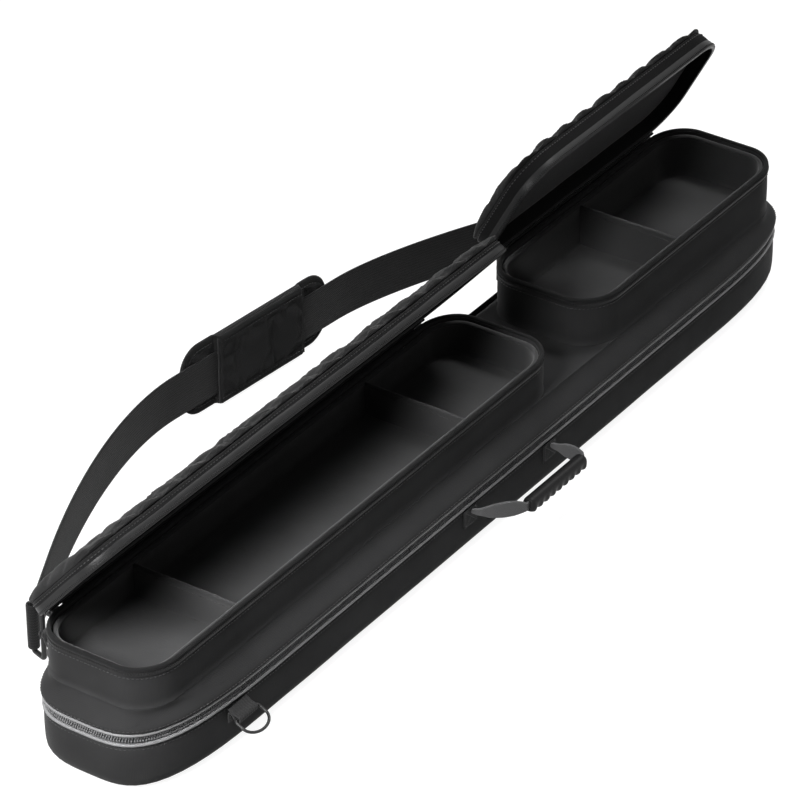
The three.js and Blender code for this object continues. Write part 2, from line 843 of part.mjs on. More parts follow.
const backWall = tabWallAt(strapRingPlace);
const ringBowCentre = backWall + strapRingOut + ringDepth - ringWidth / 2;
const hookAcross = strapEyeReach - ringBowCentre;
const hookAlong = strapRingPlace - strapEyeAlong;
const hookSeat = hookRadius - hookWire - clear - strapRingWire;
const hookLength = Math.hypot(hookAcross, hookAlong) - ringWidth / 2 - hookSeat;

const turned = (degrees) => new THREE.Vector2(
  -Math.sin(radians(degrees)),
  Math.cos(radians(degrees)),
);

function strapLine() {
  const nearEye = new THREE.Vector2(-strapEyeReach, -strapEyeAlong);
  const farEye = new THREE.Vector2(-strapEyeReach, strapEyeAlong);
  const nearWay = turned(strapEndSlope);
  const farWay = new THREE.Vector2(nearWay.x, -nearWay.y);
  const nearBend = nearEye.clone().addScaledVector(nearWay, strapEndStraight);
  const farBend = farEye.clone().addScaledVector(farWay, strapEndStraight);
  const straightNear = new THREE.Vector2(-strapReachNear, strapStraightNear);
  const straightFar = new THREE.Vector2(-strapReachFar, strapStraightFar);
  const middleWay = straightFar.clone().sub(straightNear).normalize();
  const curve = (bend, bendWay, straight, straightWay) => {
    const span = bend.distanceTo(straight);
    const a = bend.clone().addScaledVector(bendWay, span * strapEndPull);
    const b = straight.clone().addScaledVector(straightWay, span * strapStraightPull);
    return new THREE.CubicBezierCurve(bend, a, b, straight).getPoints(strapCurveSteps);
  };
  const nearCurve = curve(nearBend, nearWay, straightNear, middleWay.clone().negate());
  const farCurve = curve(farBend, farWay, straightFar, middleWay).reverse();
  return {
    points: [nearEye, ...nearCurve, ...farCurve, farEye],
    nearEye,
    farEye,
    nearWay,
    farWay,
    straightNear,
    middleWay,
  };
}

const strap = strapLine();

function roundHole(shape, centre, radius) {
  const hole = new THREE.Path();
  hole.absarc(centre.x, centre.y, radius, 0, 2 * Math.PI, true);
  shape.holes.push(hole);
}

// The webbing: a long strip with a sewn eye at each end
function strapWebbing() {
  const { points, nearEye, farEye } = strap;
  const half = strapThickness / 2;
  const eyeOut = eyeHole + strapThickness * 0.9;
  const sides = points.map((p, i) => {
    const before = points[Math.max(i - 1, 0)];
    const after = points[Math.min(i + 1, points.length - 1)];
    const along = after.clone().sub(before).normalize();
    return { p, n: new THREE.Vector2(-along.y, along.x), along };
  });
  const inner = sides.slice(1, -1);
  const right = inner.map(({ p, n }) => p.clone().addScaledVector(n, -half));
  const left = inner.map(({ p, n }) => p.clone().addScaledVector(n, half)).reverse();
  const eyeArc = (centre, inward) => {
    const from = inward.angle();
    const gap = Math.asin(half / eyeOut);
    return Array.from({ length: 15 }, (_, k) => {
      const a = from + gap + ((2 * Math.PI - 2 * gap) * k) / 14;
      return new THREE.Vector2(centre.x + eyeOut * Math.cos(a), centre.y + eyeOut * Math.sin(a));
    });
  };
  const outline = [
    ...right,
    ...eyeArc(farEye, strap.farWay),
    ...left,
    ...eyeArc(nearEye, strap.nearWay),
  ];
  const shape = new THREE.Shape(outline);
  roundHole(shape, nearEye, eyeHole);
  roundHole(shape, farEye, eyeHole);
  const settings = { depth: strapWidth, bevelEnabled: false, curveSegments: 6 };
  const strip = new THREE.ExtrudeGeometry(shape, settings);
  return strip.translate(0, 0, strapMiddleZ - strapWidth / 2);
}

const padMiddle = strap.straightNear.clone().addScaledVector(
  strap.middleWay,
  Math.hypot(strapStraightFar - strapStraightNear, strapReachNear - strapReachFar) / 2,
);

// The shoulder pad, drawn with the webbing along Y at x = 0: a padded back that runs behind the webbing
// and a front layer over the webbing between the two slots
function strapPad() {
  const slot = strapThickness / 2 + clear;
  const halfLength = padLength / 2;
  const slots = [padNearSlot - halfLength, halfLength - padFarSlot];
  const cornerAngles = [0, 25, 50, 75, 90];
  const ends = cornerAngles.map((a) => halfLength - padCorner * (1 - Math.sin(radians(a))));
  const steps = slots.flatMap((y) => [y - padStep, y - padStep / 2, y + padStep / 2, y + padStep]);
  const between = [slots[0] / 2, 0, slots[1] / 2];
  const places = [...ends.map((y) => -y), ...steps, ...between, ...ends].sort((a, b) => a - b);
  const round = [[1, 0.55], [0.93, 0.9], [0.6, 1], [0, 1], [-0.6, 1], [-0.93, 0.9], [-1, 0.55]];
  const sections = places.map((y) => {
    const cover = Math.min(
      THREE.MathUtils.smoothstep(y, slots[0] - padStep, slots[0] + padStep),
      1 - THREE.MathUtils.smoothstep(y, slots[1] - padStep, slots[1] + padStep),
    );
    const frontX = THREE.MathUtils.lerp(-slot, slot + padFront, cover);
    const backX = -slot - padBack;
    const into = Math.min((halfLength - Math.abs(y)) / padCorner, 1);
    const half = padWidth / 2 - padCorner * (1 - Math.sqrt(1 - (1 - into) ** 2));
    const middle = (frontX + backX) / 2;
    const thick = ((frontX - backX) / 2) * THREE.MathUtils.lerp(0.6, 1, Math.min(2 * into, 1));
    const front = round.map(([v, w]) => new THREE.Vector3(middle + thick * w, y, padRaise + v * half));
    const back = round.map(([v, w]) => new THREE.Vector3(middle - thick * w, y, padRaise + v * half));
    return [...front, ...back.reverse()];
  });
  const slotHalf = strapWidth / 2 + clear;
  const channel = boxBetween(-slot, slot, -padLength, padLength, -slotHalf, slotHalf);
  return cut(bodyOf(sections), channel);
}

const strapGroup = new THREE.Group();
cueCase.add(strapGroup);
place(strapGroup, 'strap_webbing', strapWebbing(), webbing);
const pad = place(strapGroup, 'strap_pad', strapPad(), padding);
pad.position.set(padMiddle.x, padMiddle.y, strapMiddleZ);
pad.rotation.z = strap.middleWay.angle() - Math.PI / 2;

// The adjuster: a flat slide round the webbing near its far end
function strapAdjuster() {
  const slotX = strapThickness / 2 + clear;
  const slotZ = strapWidth / 2 + clear;
  const frame = boxBetween(
    -slotX - adjusterPlate,
    slotX + adjusterPlate,
    -adjusterLength / 2,
    adjusterLength / 2,
    -slotZ - adjusterBar,
    slotZ + adjusterBar,
  );
  const slot = boxBetween(-slotX, slotX, -adjusterLength, adjusterLength, -slotZ, slotZ);
  return cut(frame, slot);
}

const adjusterMiddle = strap.farEye.clone().addScaledVector(strap.farWay, adjusterPlace);
const adjuster = place(strapGroup, 'strap_adjuster', strapAdjuster(), plastic);
adjuster.position.set(adjusterMiddle.x, adjusterMiddle.y, strapMiddleZ);
adjuster.rotation.z = strap.farWay.angle() - Math.PI / 2;

// A snap hook, drawn with the strap's eye at the origin and the ring's bow at x = hookLength

const onHook = (degrees) => new THREE.Vector3(
  hookLength + hookRadius * Math.cos(radians(degrees)),
  0,
  hookRadius * Math.sin(radians(degrees)),
);

function snapHook() {
  const sideways = new THREE.Vector3(0, 1, 0);
  const corner = loopCorner;
  const halfHigh = loopHeight / 2;
  const corners = [[0, -1, 180], [1, -1, 270], [1, 1, 0], [0, 1, 90]];
  const rectangle = corners.flatMap(([x, z, start]) => (
    [0, 45, 90].map((step) => {
      const a = radians(start + step);
      const cx = x === 0 ? corner : loopDepth - corner;
      const cz = z * (halfHigh - corner);
      return new THREE.Vector3(cx + corner * Math.cos(a), 0, cz + corner * Math.sin(a));
    })
  ));
  const loop = flatWire(rectangle, sideways, loopWire, true);
  const postStart = loopDepth - loopWire / 2;
  const postEnd = hookLength - hookRadius;
  const post = new THREE.CylinderGeometry(postRadius, postRadius * 0.7, postEnd - postStart, 10);
  post.rotateZ(Math.PI / 2).translate((postStart + postEnd) / 2, 0, 0);
  const bow = Array.from({ length: bowSteps + 1 }, (_, k) => (
    onHook(THREE.MathUtils.lerp(bowStart, bowEnd, k / bowSteps))
  ));
  return join(loop, post, flatWire(bow, sideways, hookWire, false));
}

function hookGate() {
  const ends = [onHook(gateStart), onHook(gateEnd)];
  const middle = ends[0].clone().lerp(ends[1], 0.5);
  return flatWire([ends[0], middle, ends[1]], new THREE.Vector3(0, 1, 0), gateWire, false);
}

function addStrapEnd(name, side) {
  const eye = side < 0 ? strap.nearEye : strap.farEye;
  const end = new THREE.Group();
  end.position.set(eye.x, eye.y, strapMiddleZ);
  end.rotation.z = Math.atan2(side * hookAlong, hookAcross);
  strapGroup.add(end);
  place(end, `${name}_snap_hook`, snapHook(), metal);
  place(end, `${name}_hook_gate`, hookGate(), metal);

  const back = new THREE.Group();
  back.position.set(-backWall, side * strapRingPlace, 0);
  back.rotation.z = Math.PI;
  cueCase.add(back);
  const tabHigh = tubTop - tubRimRound - clear;
  const tabLow = tabHigh - strapTabFlap;
  const tab = ringTab(tabLow, tabHigh, strapMiddleZ, strapRingOut, strapMiddleZ, strapRingWire);
  place(back, `${name}_ring_tab`, tab, webbing);
  const dee = place(back, `${name}_d_ring`, dRing(strapRingWire, ringDepth, ringWidth / 2), metal);
  dee.position.set(strapRingOut, 0, strapMiddleZ);
}

addStrapEnd('strap_near', -1);
addStrapEnd('strap_far', 1);

// Zipper sliders, drawn with the track along X and the wall's outside along +Y

const pinSunk = 0.4;
const pinOut = sliderThickness + knuckleRadius - pinSunk;
const pinZ = -sliderHeight / 4;

function sliderBody() {
  const half = sliderLength / 2;
  const bodyBox = boxBetween(-half, half, 0, sliderThickness, -sliderHeight / 2, sliderHeight / 2);
  const earNear = pullWidth / 2 + clear;
  const ear = (side) => {
    const inner = side * earNear;
    const outer = side * (earNear + earThickness);
    return boxBetween(
      Math.min(inner, outer),
      Math.max(inner, outer),
      sliderThickness - earRoot,
      pinOut + pinRadius + pinSunk,
      pinZ - earHalfHeight,
      pinZ + earHalfHeight,
    );
  };
  const pin = new THREE.CylinderGeometry(pinRadius, pinRadius, 2 * earNear + earThickness, 8);
  pin.rotateZ(Math.PI / 2).translate(0, pinOut, pinZ);
  const notchBack = sliderThickness - notchDepth;
  const notchFront = sliderThickness + notchDepth;
  const notch = boxBetween(-earNear, earNear, notchBack, notchFront, -sliderHeight, pinZ + notchHeight);
  return join(cut(bodyBox, notch), ear(-1), ear(1), pin);
}

function pullTab() {
  const width = pullWidth;
  const along = (geometry) => geometry.rotateZ(Math.PI / 2);
  const knuckle = along(new THREE.CylinderGeometry(knuckleRadius, knuckleRadius, width, 10));
  const bore = along(new THREE.CylinderGeometry(pinRadius + clear, pinRadius + clear, width + 2, 10));
  const half = pullThickness / 2;
  const neck = boxBetween(-width / 2, width / 2, -half, half, -pullLength, -knuckleRadius / 2);
  return cut(join(knuckle, neck), bore);
}

function addSlider(name, x, y, z, turn) {
  const slider = new THREE.Group();
  slider.position.set(x, y, z);
  slider.rotation.z = radians(turn);
  cueCase.add(slider);
  place(slider, `${name}_slider`, sliderBody(), metal);
  const pull = place(slider, `${name}_pull`, pullTab(), metal);
  pull.position.set(0, pinOut, pinZ);
}

const endFace = caseLength / 2 + Math.max(tubBulge, pipingOut + pipingRadius) + clear;
const sliderApart = sliderLength / 2 + 1;
addSlider('main_front', sliderApart, endFace, zipHeight, 0);
addSlider('main_back', -sliderApart, endFace, zipHeight, 0);

const pocketSliderX = -pocketWidth / 2 - tapeSideOut - clear;
const sliderDrop = sliderHeight / 2 + 1.5;
const sliderFromEnd = pocketCornerAlong - 1;
[['long', longPocket], ['short', shortPocket]].forEach(([name, box]) => {
  const z = box.rim - sliderDrop;
  addSlider(`${name}_near`, pocketSliderX, box.y0 + sliderFromEnd, z, 90);
  addSlider(`${name}_far`, pocketSliderX, box.y1 - sliderFromEnd, z, 90);
});

export default cueCase;
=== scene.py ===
# Pool cue case: its looks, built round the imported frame. Sizes are in millimetres unless said otherwise.
import math
from collections import namedtuple

import bmesh
import bpy
import numpy as np
from mathutils import Matrix, Vector, noise


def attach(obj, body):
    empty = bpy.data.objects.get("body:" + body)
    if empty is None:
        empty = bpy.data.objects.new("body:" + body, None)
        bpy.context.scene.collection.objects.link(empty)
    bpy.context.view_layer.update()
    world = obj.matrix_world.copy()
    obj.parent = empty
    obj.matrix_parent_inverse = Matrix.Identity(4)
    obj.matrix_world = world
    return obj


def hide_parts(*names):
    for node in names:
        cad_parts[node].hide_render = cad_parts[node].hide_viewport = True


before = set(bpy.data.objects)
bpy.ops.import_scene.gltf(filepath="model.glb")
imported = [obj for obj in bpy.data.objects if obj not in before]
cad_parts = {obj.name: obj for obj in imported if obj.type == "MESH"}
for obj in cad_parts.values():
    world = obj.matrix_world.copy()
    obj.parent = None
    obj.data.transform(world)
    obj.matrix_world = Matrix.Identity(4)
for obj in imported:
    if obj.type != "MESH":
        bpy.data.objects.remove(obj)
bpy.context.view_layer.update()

MM = 0.001

# Without this, noise_vector takes its offsets from the clock
noise.seed_set(1)

# Body of the case, measured at the line of the main zipper
LENGTH = 850.0
WIDTH = 126.6
CORNER_ACROSS = 62.0
CORNER_ALONG = 154.0
CORNER_POWER = 3.4
ZIP_Z = 45.2
CLEAR = 0.3
HALF_GAP = 0.2

# Lower tub
TUB_WALL = 2.5
TUB_BULGE = 0.3
TUB_BASE_RADIUS = 13.5

# Main zipper
PIPING_RADIUS = 1.25
PIPING_OUT = 0.3
TOOTH_HEIGHT = 2.4
TOOTH_OUT = 0.6
TOOTH_PITCH = 1.9
TAPE_THICK = 1.2
LOWER_TAPE_HEIGHT = 13.0
UPPER_TAPE_HEIGHT = 7.0
ZIP_END = 262.0

# Upper shell
SHELL_WALL = 3.5
SHELL_OVERHANG = 1.8
SHOULDER_START = 52.8
SADDLE = 67.0
SADDLE_MARGIN = 1.0

# Foam inside
CRADLE_TOP = 34.0
GROOVES = [(-41.5, 8.5), (-16.0, 13.5), (16.0, 13.5), (41.5, 8.5)]
GROOVE_LENGTH = 770.0
FOAM_TOP_POINTS = 141
FOAM_BASE_POINTS = 15
LINING_PAD_LOW = 56.5
LINING_PAD_GAP = 0.6

# Pockets
POCKET_WIDTH = 102.0
POCKET_ACROSS = 28.0
POCKET_ALONG = 33.0
LONG_NEAR, LONG_FAR, LONG_RIM = -414.0, 90.0, 100.3
SHORT_NEAR, SHORT_FAR, SHORT_RIM = 139.6, 410.0, 107.9
POCKET_WALL = 3.0
LINER_WALL = 3.7
LINER_FLOOR = 1.7
LIP_DROP = 3.5
RIM_TAPE_HEIGHT = 6.5
DIVIDERS = {"long": [-305.5, -25.0], "short": [266.0]}
DIVIDER_THICK = 3.0
DIVIDER_DROP = 1.2

# Lids: depth of each and how far it stands open
LIDS = {"long": (16.9, 49.0), "short": (22.0, 61.9)}
LID_WALL = 2.5
LID_LINING = 1.5
LID_AXIS_X = -53.1
LEAF_HEIGHT = 7.0
LEAF_REACH = 39.0
QUILT_PITCH = 27.0
QUILT_EDGE = 1.0
QUILT_PUFF = 2.0
QUILT_SPREAD = 0.9
QUILT_CROWN = 2.6
QUILT_VALLEY = 0.45
QUILT_INSET = 1.5
QUILT_STEPS = 12

# Handle
HANDLE_Y = 4.5
HANDLE_X = 66.7
HANDLE_Z = 36.0
HANDLE_SPAN = 105.0
HANDLE_REACH = 30.0
HANDLE_LIFT = 1.5
WEB_THICK = 2.4
GRIP_LENGTH = 72.0
GRIP_SHIFT = 11.0
GRIP_WIDTH = 10.5
GRIP_HEIGHT = 11.5
GRIP_WEB_HEIGHT = 6.5
FRONT_WALL = WIDTH / 2 + TUB_BULGE

# D-rings
RING_WIDTH = 26.0
RING_DEPTH = 18.0
FRONT_RING = dict(wall=63.11, x=71.81, y=-334.5, z=32.0, tilt=25.0, wire=1.1, depth=16.5, bow=9.0)
STRAP_RING = dict(wall=62.662, x=-70.162, y=345.5, wire=1.5)
TAB_THICK = 1.5
TAB_WIDTH = 21.0

# Strap
STRAP_Z = 31.0
STRAP_WIDTH = 38.0
STRAP_THICK = 2.0
EYE = (-115.0, 333.7)
END_STRAIGHT = 60.0
END_SLOPE = 26.5
END_PULL, STRAIGHT_PULL = 0.38, 0.24
EYE_RADIUS = 2.55
END_TAIL = (6.5, 14.3)
END_SEAM = 10.6
END_SEAM_HALF = (3.0, 15.5)
STRAIGHT_NEAR = (-209.2, -41.0)
STRAIGHT_FAR = (-189.6, 143.0)
PAD_WIDTH = 60.6
PAD_LENGTH = 164.0
PAD_BACK = 3.5
PAD_FRONT = 3.0
PAD_CORNER = 20.0
PAD_NEAR_SLOT = 37.0
PAD_FAR_SLOT = 32.0
PAD_STEP = 1.5
PAD_RAISE = 1.7
ADJUSTER_PLACE = 36.0
HOOK_RADIUS = 8.5
HOOK_LOOP = (12.5, 44.0)
HOOK_WIRE = 1.8
HOOK_LOOP_WIRE = 2.0
HOOK_LOOP_CORNER = 2.5

# Camera, fitted to the photograph: directions in degrees, place in metres, focal length in pixels
CAMERA_AZIMUTH = 34.9201
CAMERA_ELEVATION = 32.8841
CAMERA_ROLL = -0.5532
CAMERA_PLACE = (1.73525, -2.52913, 2.06560)
CAMERA_FOCAL_PIXELS = 4972.351
IMAGE_SIDE = 800.0
SENSOR = 36.0

# How finely outlines and lines are divided
CORNER_STEPS = 20
LONG_STEPS = 72
SHORT_STEPS = 6
TANGENT_REACH = 0.4

# Outlines

Plan = namedtuple("Plan", "x0 x1 y0 y1 across along power rim", defaults=(2.0, 0.0))


def curved(value, power):
    return np.sign(value) * np.abs(value) ** (2 / power)


def corner_arcs(plan, grow):
    """The four corners, with their points spread evenly along each."""
    rx = max(plan.across + grow, 1.0)
    ry = max(plan.along + grow, 1.0)
    left, right = plan.x0 - grow + rx, plan.x1 + grow - rx
    near, far = plan.y0 - grow + ry, plan.y1 + grow - ry
    t = np.linspace(0, 1, CORNER_STEPS + 1)
    ahead, behind = t ** (plan.power / 2), (1 - t) ** (plan.power / 2)
    turn = ahead / (ahead + behind)
    arcs = []
    for cx, cy, start in ((left, near, 180), (right, near, 270), (right, far, 0), (left, far, 90)):
        a = np.radians(start + 90 * turn)
        x, y = curved(np.round(np.cos(a), 12), plan.power), curved(np.round(np.sin(a), 12), plan.power)
        arcs.append(np.stack([cx + rx * x, cy + ry * y], 1))
    return arcs


def between(a, b, steps):
    t = np.linspace(0, 1, steps + 1)[1:-1, None]
    return a + (b - a) * t


def outline(plan, grow):
    arcs = corner_arcs(plan, grow)
    parts = []
    for i, arc in enumerate(arcs):
        following = arcs[(i + 1) % 4][0]
        steps = SHORT_STEPS if i % 2 == 0 else LONG_STEPS
        parts += [arc, between(arc[-1], following, steps)]
    return np.concatenate(parts)


def open_outline(plan, grow, end):
    """The outline without the middle of the back wall."""
    arcs = corner_arcs(plan, grow)
    back = plan.x0 - grow
    parts = [np.array([[back, -end]])]
    for i, arc in enumerate(arcs):
        parts.append(arc)
        if i < 3:
            steps = SHORT_STEPS if i % 2 == 0 else LONG_STEPS
            parts.append(between(arc[-1], arcs[i + 1][0], steps))
    parts.append(np.array([[back, end]]))
    return np.concatenate(parts)


def degrees(start, end, count):
    """Evenly spread angles, given in degrees, as radians."""
    return np.radians(np.linspace(start, end, count))


def whole_turn(count):
    return np.radians(np.linspace(0, 360, count, endpoint=False))


def signed_power(value, power):
    return math.copysign(abs(value) ** power, value)


def arc_lengths(points):
    """The way along a polyline to each of its points."""
    steps = np.linalg.norm(np.diff(points, axis=0), axis=1)
    return np.concatenate([[0], np.cumsum(steps)])


def spread(columns, at, along):
    """Each column of numbers along a line, read at new places on it."""
    return np.stack([np.interp(at, along, column) for column in columns.T], 1)


def at_height(points, z):
    return np.column_stack([points, np.full(len(points), z)])


def ring(plan, grow, z):
    return at_height(outline(plan, grow), z)


# Meshes

def loft(rings, loop=False):
    """Vertices and faces of a body through rings of equally many points."""
    count = len(rings[0])
    verts = np.concatenate(rings)
    spans = len(rings) if loop else len(rings) - 1
    faces = []
    for r in range(spans):
        low, high = r * count, ((r + 1) % len(rings)) * count
        for k in range(count):
            n = (k + 1) % count
            faces.append((low + k, low + n, high + n, high + k))
    if not loop:
        faces.append(tuple(range(count))[::-1])
        last = (len(rings) - 1) * count
        faces.append(tuple(range(last, last + count)))
    return verts, faces


def merge(*parts):
    verts, faces, start = [], [], 0
    for v, f in parts:
        verts.append(np.asarray(v, float))
        faces += [tuple(i + start for i in face) for face in f]
        start += len(v)
    return np.concatenate(verts), faces


def band(plan, section):
    return loft([ring(plan, g, z) for g, z in section], loop=True)


def open_band(plan, end, section):
    rails = [at_height(open_outline(plan, g, end), z) for g, z in section]
    return loft([np.array([rail[j] for rail in rails]) for j in range(len(rails[0]))])


def circle(cx, cy, radius, sides):
    a = whole_turn(sides)
    return np.stack([cx + radius * np.cos(a), cy + radius * np.sin(a)], 1)


def smoothed(points, rounds):
    """Softens a noisy or stepped list of numbers."""
    p = np.asarray(points, float)
    for _ in range(rounds):
        p = np.concatenate([p[:1], (p[:-2] + 2 * p[1:-1] + p[2:]) / 4, p[-1:]])
    return p


def curve_points(points, spacing, closed=False):
    """Points along a polyline at equal steps, with the direction at each."""
    p = np.asarray(points, float)
    if closed:
        p = np.concatenate([p, p[:1]])
    s = arc_lengths(p)
    count = max(int(round(s[-1] / spacing)), 1)
    places = (np.arange(count) + 0.5) * s[-1] / count
    where = spread(p, places, s)
    way = spread(p, places + TANGENT_REACH, s) - spread(p, places - TANGENT_REACH, s)
    way /= np.linalg.norm(way, axis=1)[:, None]
    return where, way


def wire(points, radius, normal, sides, closed=True):
    """A round wire bent in a plane."""
    p = np.asarray(points, float)
    n = np.asarray(normal, float)
    count = len(p)
    radii = np.broadcast_to(radius, (count,))
    rings = []
    for i in range(count):
        a = p[(i - 1) % count] if closed else p[max(i - 1, 0)]
        b = p[(i + 1) % count] if closed else p[min(i + 1, count - 1)]
        along = (b - a) / np.linalg.norm(b - a)
        rise = np.cross(along, n)
        t = 2 * math.pi * np.arange(sides) / sides
        rings.append(p[i] + radii[i] * (np.outer(np.cos(t), n) + np.outer(np.sin(t), rise)))
    return loft(rings, loop=closed)


def rounded_box(lo, hi, edge):
    """A box with softened edges."""
    lo, hi = np.array(lo, float), np.array(hi, float)
    e = min(edge, (hi - lo).min() * 0.45)

    def square(grow, z):
        x0, y0, x1, y1 = lo[0] + e - grow, lo[1] + e - grow, hi[0] - e + grow, hi[1] - e + grow
        c = e * 0.3 * grow / e if grow else 0.0
        near_side = [(x0 + c, y0), (x1 - c, y0), (x1, y0 + c), (x1, y1 - c)]
        far_side = [(x1 - c, y1), (x0 + c, y1), (x0, y1 - c), (x0, y0 + c)]
        return np.array([(x, y, z) for x, y in near_side + far_side])

    levels = ((0.35, 0.0), (0.8, 0.3), (1.0, 1.0))
    rings = [square(e * grow, lo[2] + e * rise) for grow, rise in levels]
    return loft(rings + [square(e * grow, hi[2] - e * rise) for grow, rise in levels[::-1]])


def stitch_run(points, normals, pitch=3.2, length=2.3, radius=0.32, closed=False):
    """Short rounded stitches along a line, half sunk into the cloth."""
    p = np.asarray(points, float)
    where, way = curve_points(p, pitch, closed)
    n = np.asarray(normals, float)
    if n.ndim == 2:
        q = np.concatenate([p, p[:1]]) if closed else p
        m = np.concatenate([n, n[:1]]) if closed else n
        s = arc_lengths(q)
        places = (np.arange(len(where)) + 0.5) * s[-1] / len(where)
        n = spread(m, places, s)
    else:
        n = np.broadcast_to(n, where.shape)
    side = np.cross(way, n)
    side /= np.linalg.norm(side, axis=1)[:, None]
    verts, faces = [], []
    for c, t, u, w in zip(where, way, n, side):
        base = len(verts)
        verts.append(c - t * length / 2)
        for f in (-0.28, 0.28):
            for k in range(6):
                a = math.pi * k / 3
                verts.append(c + t * length * f + radius * (math.cos(a) * w + math.sin(a) * u))
        verts.append(c + t * length / 2)
        for k in range(6):
            m = (k + 1) % 6
            faces.append((base, base + 1 + m, base + 1 + k))
            faces.append((base + 1 + k, base + 1 + m, base + 7 + m, base + 7 + k))
            faces.append((base + 13, base + 7 + k, base + 7 + m))
    return np.array(verts), faces


def cloth_noise(verts, size, depth, seed=0.0):
    """Small soft unevenness, as smooth cloth has."""
    out = np.array(verts, float)
    for i, v in enumerate(out):
        q = Vector(v) / size + Vector((seed, seed * 2, seed * 3))
        out[i] = v + depth * np.array(noise.noise_vector(q))
    return out


collection = bpy.context.scene.collection


def piece(name, mesh_data, material, body, replaced=(), slot=None, place=None, uv=None, sharp=38.0):
    """Makes one object, places it, and lets it ride on a body of the frame."""
    verts, faces = mesh_data
    mesh = bpy.data.meshes.new(name)
    mesh.from_pydata((np.asarray(verts, float) * MM).tolist(), [], faces)
    bm = bmesh.new()
    bm.from_mesh(mesh)
    bmesh.ops.recalc_face_normals(bm, faces=bm.faces)
    limit = math.radians(sharp)
    for edge in bm.edges:
        edge.smooth = edge.calc_face_angle(0.0) < limit
    for face in bm.faces:
        face.smooth = True
    bm.to_mesh(mesh)
    bm.free()
    if uv is not None:
        layer = mesh.uv_layers.new(name="along")
        index = np.empty(len(mesh.loops), int)
        mesh.loops.foreach_get("vertex_index", index)
        layer.data.foreach_set("uv", np.asarray(uv, float)[index].ravel())
    obj = bpy.data.objects.new(name, mesh)
    collection.objects.link(obj)
    obj.data.materials.append(material)
    if place is not None:
        obj.matrix_world = place
        bpy.context.view_layer.update()
    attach(obj, body)
    if replaced:
        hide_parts(*replaced)
    return obj


def metal_piece(name, data, body, replaced, place):
    piece(name, data, METAL, body, [replaced], "metal", place=place)


def turned_about(x, y, z, angle, axis="Y"):
    """The matrix, in metres, that turns a piece about an axis and moves it to a point in millimetres."""
    move = Matrix.Translation(Vector((x, y, z)) * MM)
    return move @ Matrix.Rotation(math.radians(angle), 4, axis)


# Materials

def new_material(name):
    mat = bpy.data.materials.new(name)
    mat.use_nodes = True
    nt = mat.node_tree
    shader = nt.nodes["Principled BSDF"]
    return mat, nt, shader


def math_node(nt, operation, a, b=None):
    made = nt.nodes.new("ShaderNodeMath")
    made.operation = operation
    for i, value in enumerate((a, b)):
        if value is None:
            continue
        if isinstance(value, (int, float)):
            made.inputs[i].default_value = value
        else:
            nt.links.new(value, made.inputs[i])
    return made.outputs[0]


def noise_value(nt, vector, scale, detail=3.0, rough=0.55):
    made = nt.nodes.new("ShaderNodeTexNoise")
    made.inputs["Scale"].default_value = scale
    made.inputs["Detail"].default_value = detail
    made.inputs["Roughness"].default_value = rough
    nt.links.new(vector, made.inputs["Vector"])
    return made.outputs[0]


def ramp(nt, value, stops):
    made = nt.nodes.new("ShaderNodeValToRGB")
    elements = made.color_ramp.elements
    elements[0].position, elements[0].color = stops[0][0], (*stops[0][1], 1)
    elements[1].position, elements[1].color = stops[-1][0], (*stops[-1][1], 1)
    for place, colour in stops[1:-1]:
        elements.new(place).color = (*colour, 1)
    nt.links.new(value, made.inputs[0])
    return made.outputs[0]


def grey(value):
    return (value, value, value * 1.02)


def bands(nt, coordinate, period_mm):
    """A soft ridge pattern along one coordinate given in metres, from -1 to 1."""
    return math_node(nt, "SINE", math_node(nt, "MULTIPLY", coordinate, 2 * math.pi / (period_mm * MM)))


def weave_height(nt, thread_mm):
    """A plain weave on any face: ridges along the two object axes that the face spans."""
    coords = nt.nodes.new("ShaderNodeTexCoord")
    place = nt.nodes.new("ShaderNodeSeparateXYZ")
    facing = nt.nodes.new("ShaderNodeSeparateXYZ")
    nt.links.new(coords.outputs["Object"], place.inputs[0])
    nt.links.new(coords.outputs["Normal"], facing.inputs[0])
    total = None
    for i in range(3):
        across = math_node(nt, "SUBTRACT", 1.0, math_node(nt, "ABSOLUTE", facing.outputs[i]))
        part = math_node(nt, "MULTIPLY", bands(nt, place.outputs[i], thread_mm), across)
        total = part if total is None else math_node(nt, "ADD", total, part)
    return coords, total


def finish_surface(nt, shader, coords, height, strength, depth_mm, colour, wear, roughness, variation):
    """Colour variation, worn edges, uneven roughness and bump, shared by every material."""
    vector = coords.outputs["Object"]
    patches = noise_value(nt, vector, 14.0, 4.0)
    tint = ramp(nt, patches, [(0.3, grey(colour * 0.82)), (0.7, grey(colour * 1.18))])
    geometry = nt.nodes.new("ShaderNodeNewGeometry")
    edges = ramp(nt, geometry.outputs["Pointiness"], [(0.5, (0, 0, 0)), (0.58, (1, 1, 1))])
    rubbed = math_node(nt, "MULTIPLY", edges, noise_value(nt, vector, 90.0, 5.0, 0.7))
    mix = nt.nodes.new("ShaderNodeMix")
    mix.data_type = "RGBA"
    nt.links.new(rubbed, mix.inputs["Factor"])
    nt.links.new(tint, mix.inputs["A"])
    mix.inputs["B"].default_value = (*grey(wear), 1)
    nt.links.new(mix.outputs["Result"], shader.inputs["Base Color"])
    uneven = noise_value(nt, vector, 60.0, 4.0)
    rough = math_node(nt, "ADD", math_node(nt, "MULTIPLY", uneven, variation), roughness - variation / 2)
    nt.links.new(rough, shader.inputs["Roughness"])
    bump = nt.nodes.new("ShaderNodeBump")
    bump.inputs["Strength"].default_value = strength
    bump.inputs["Distance"].default_value = depth_mm * MM
    nt.links.new(height, bump.inputs["Height"])
    nt.links.new(bump.outputs[0], shader.inputs["Normal"])


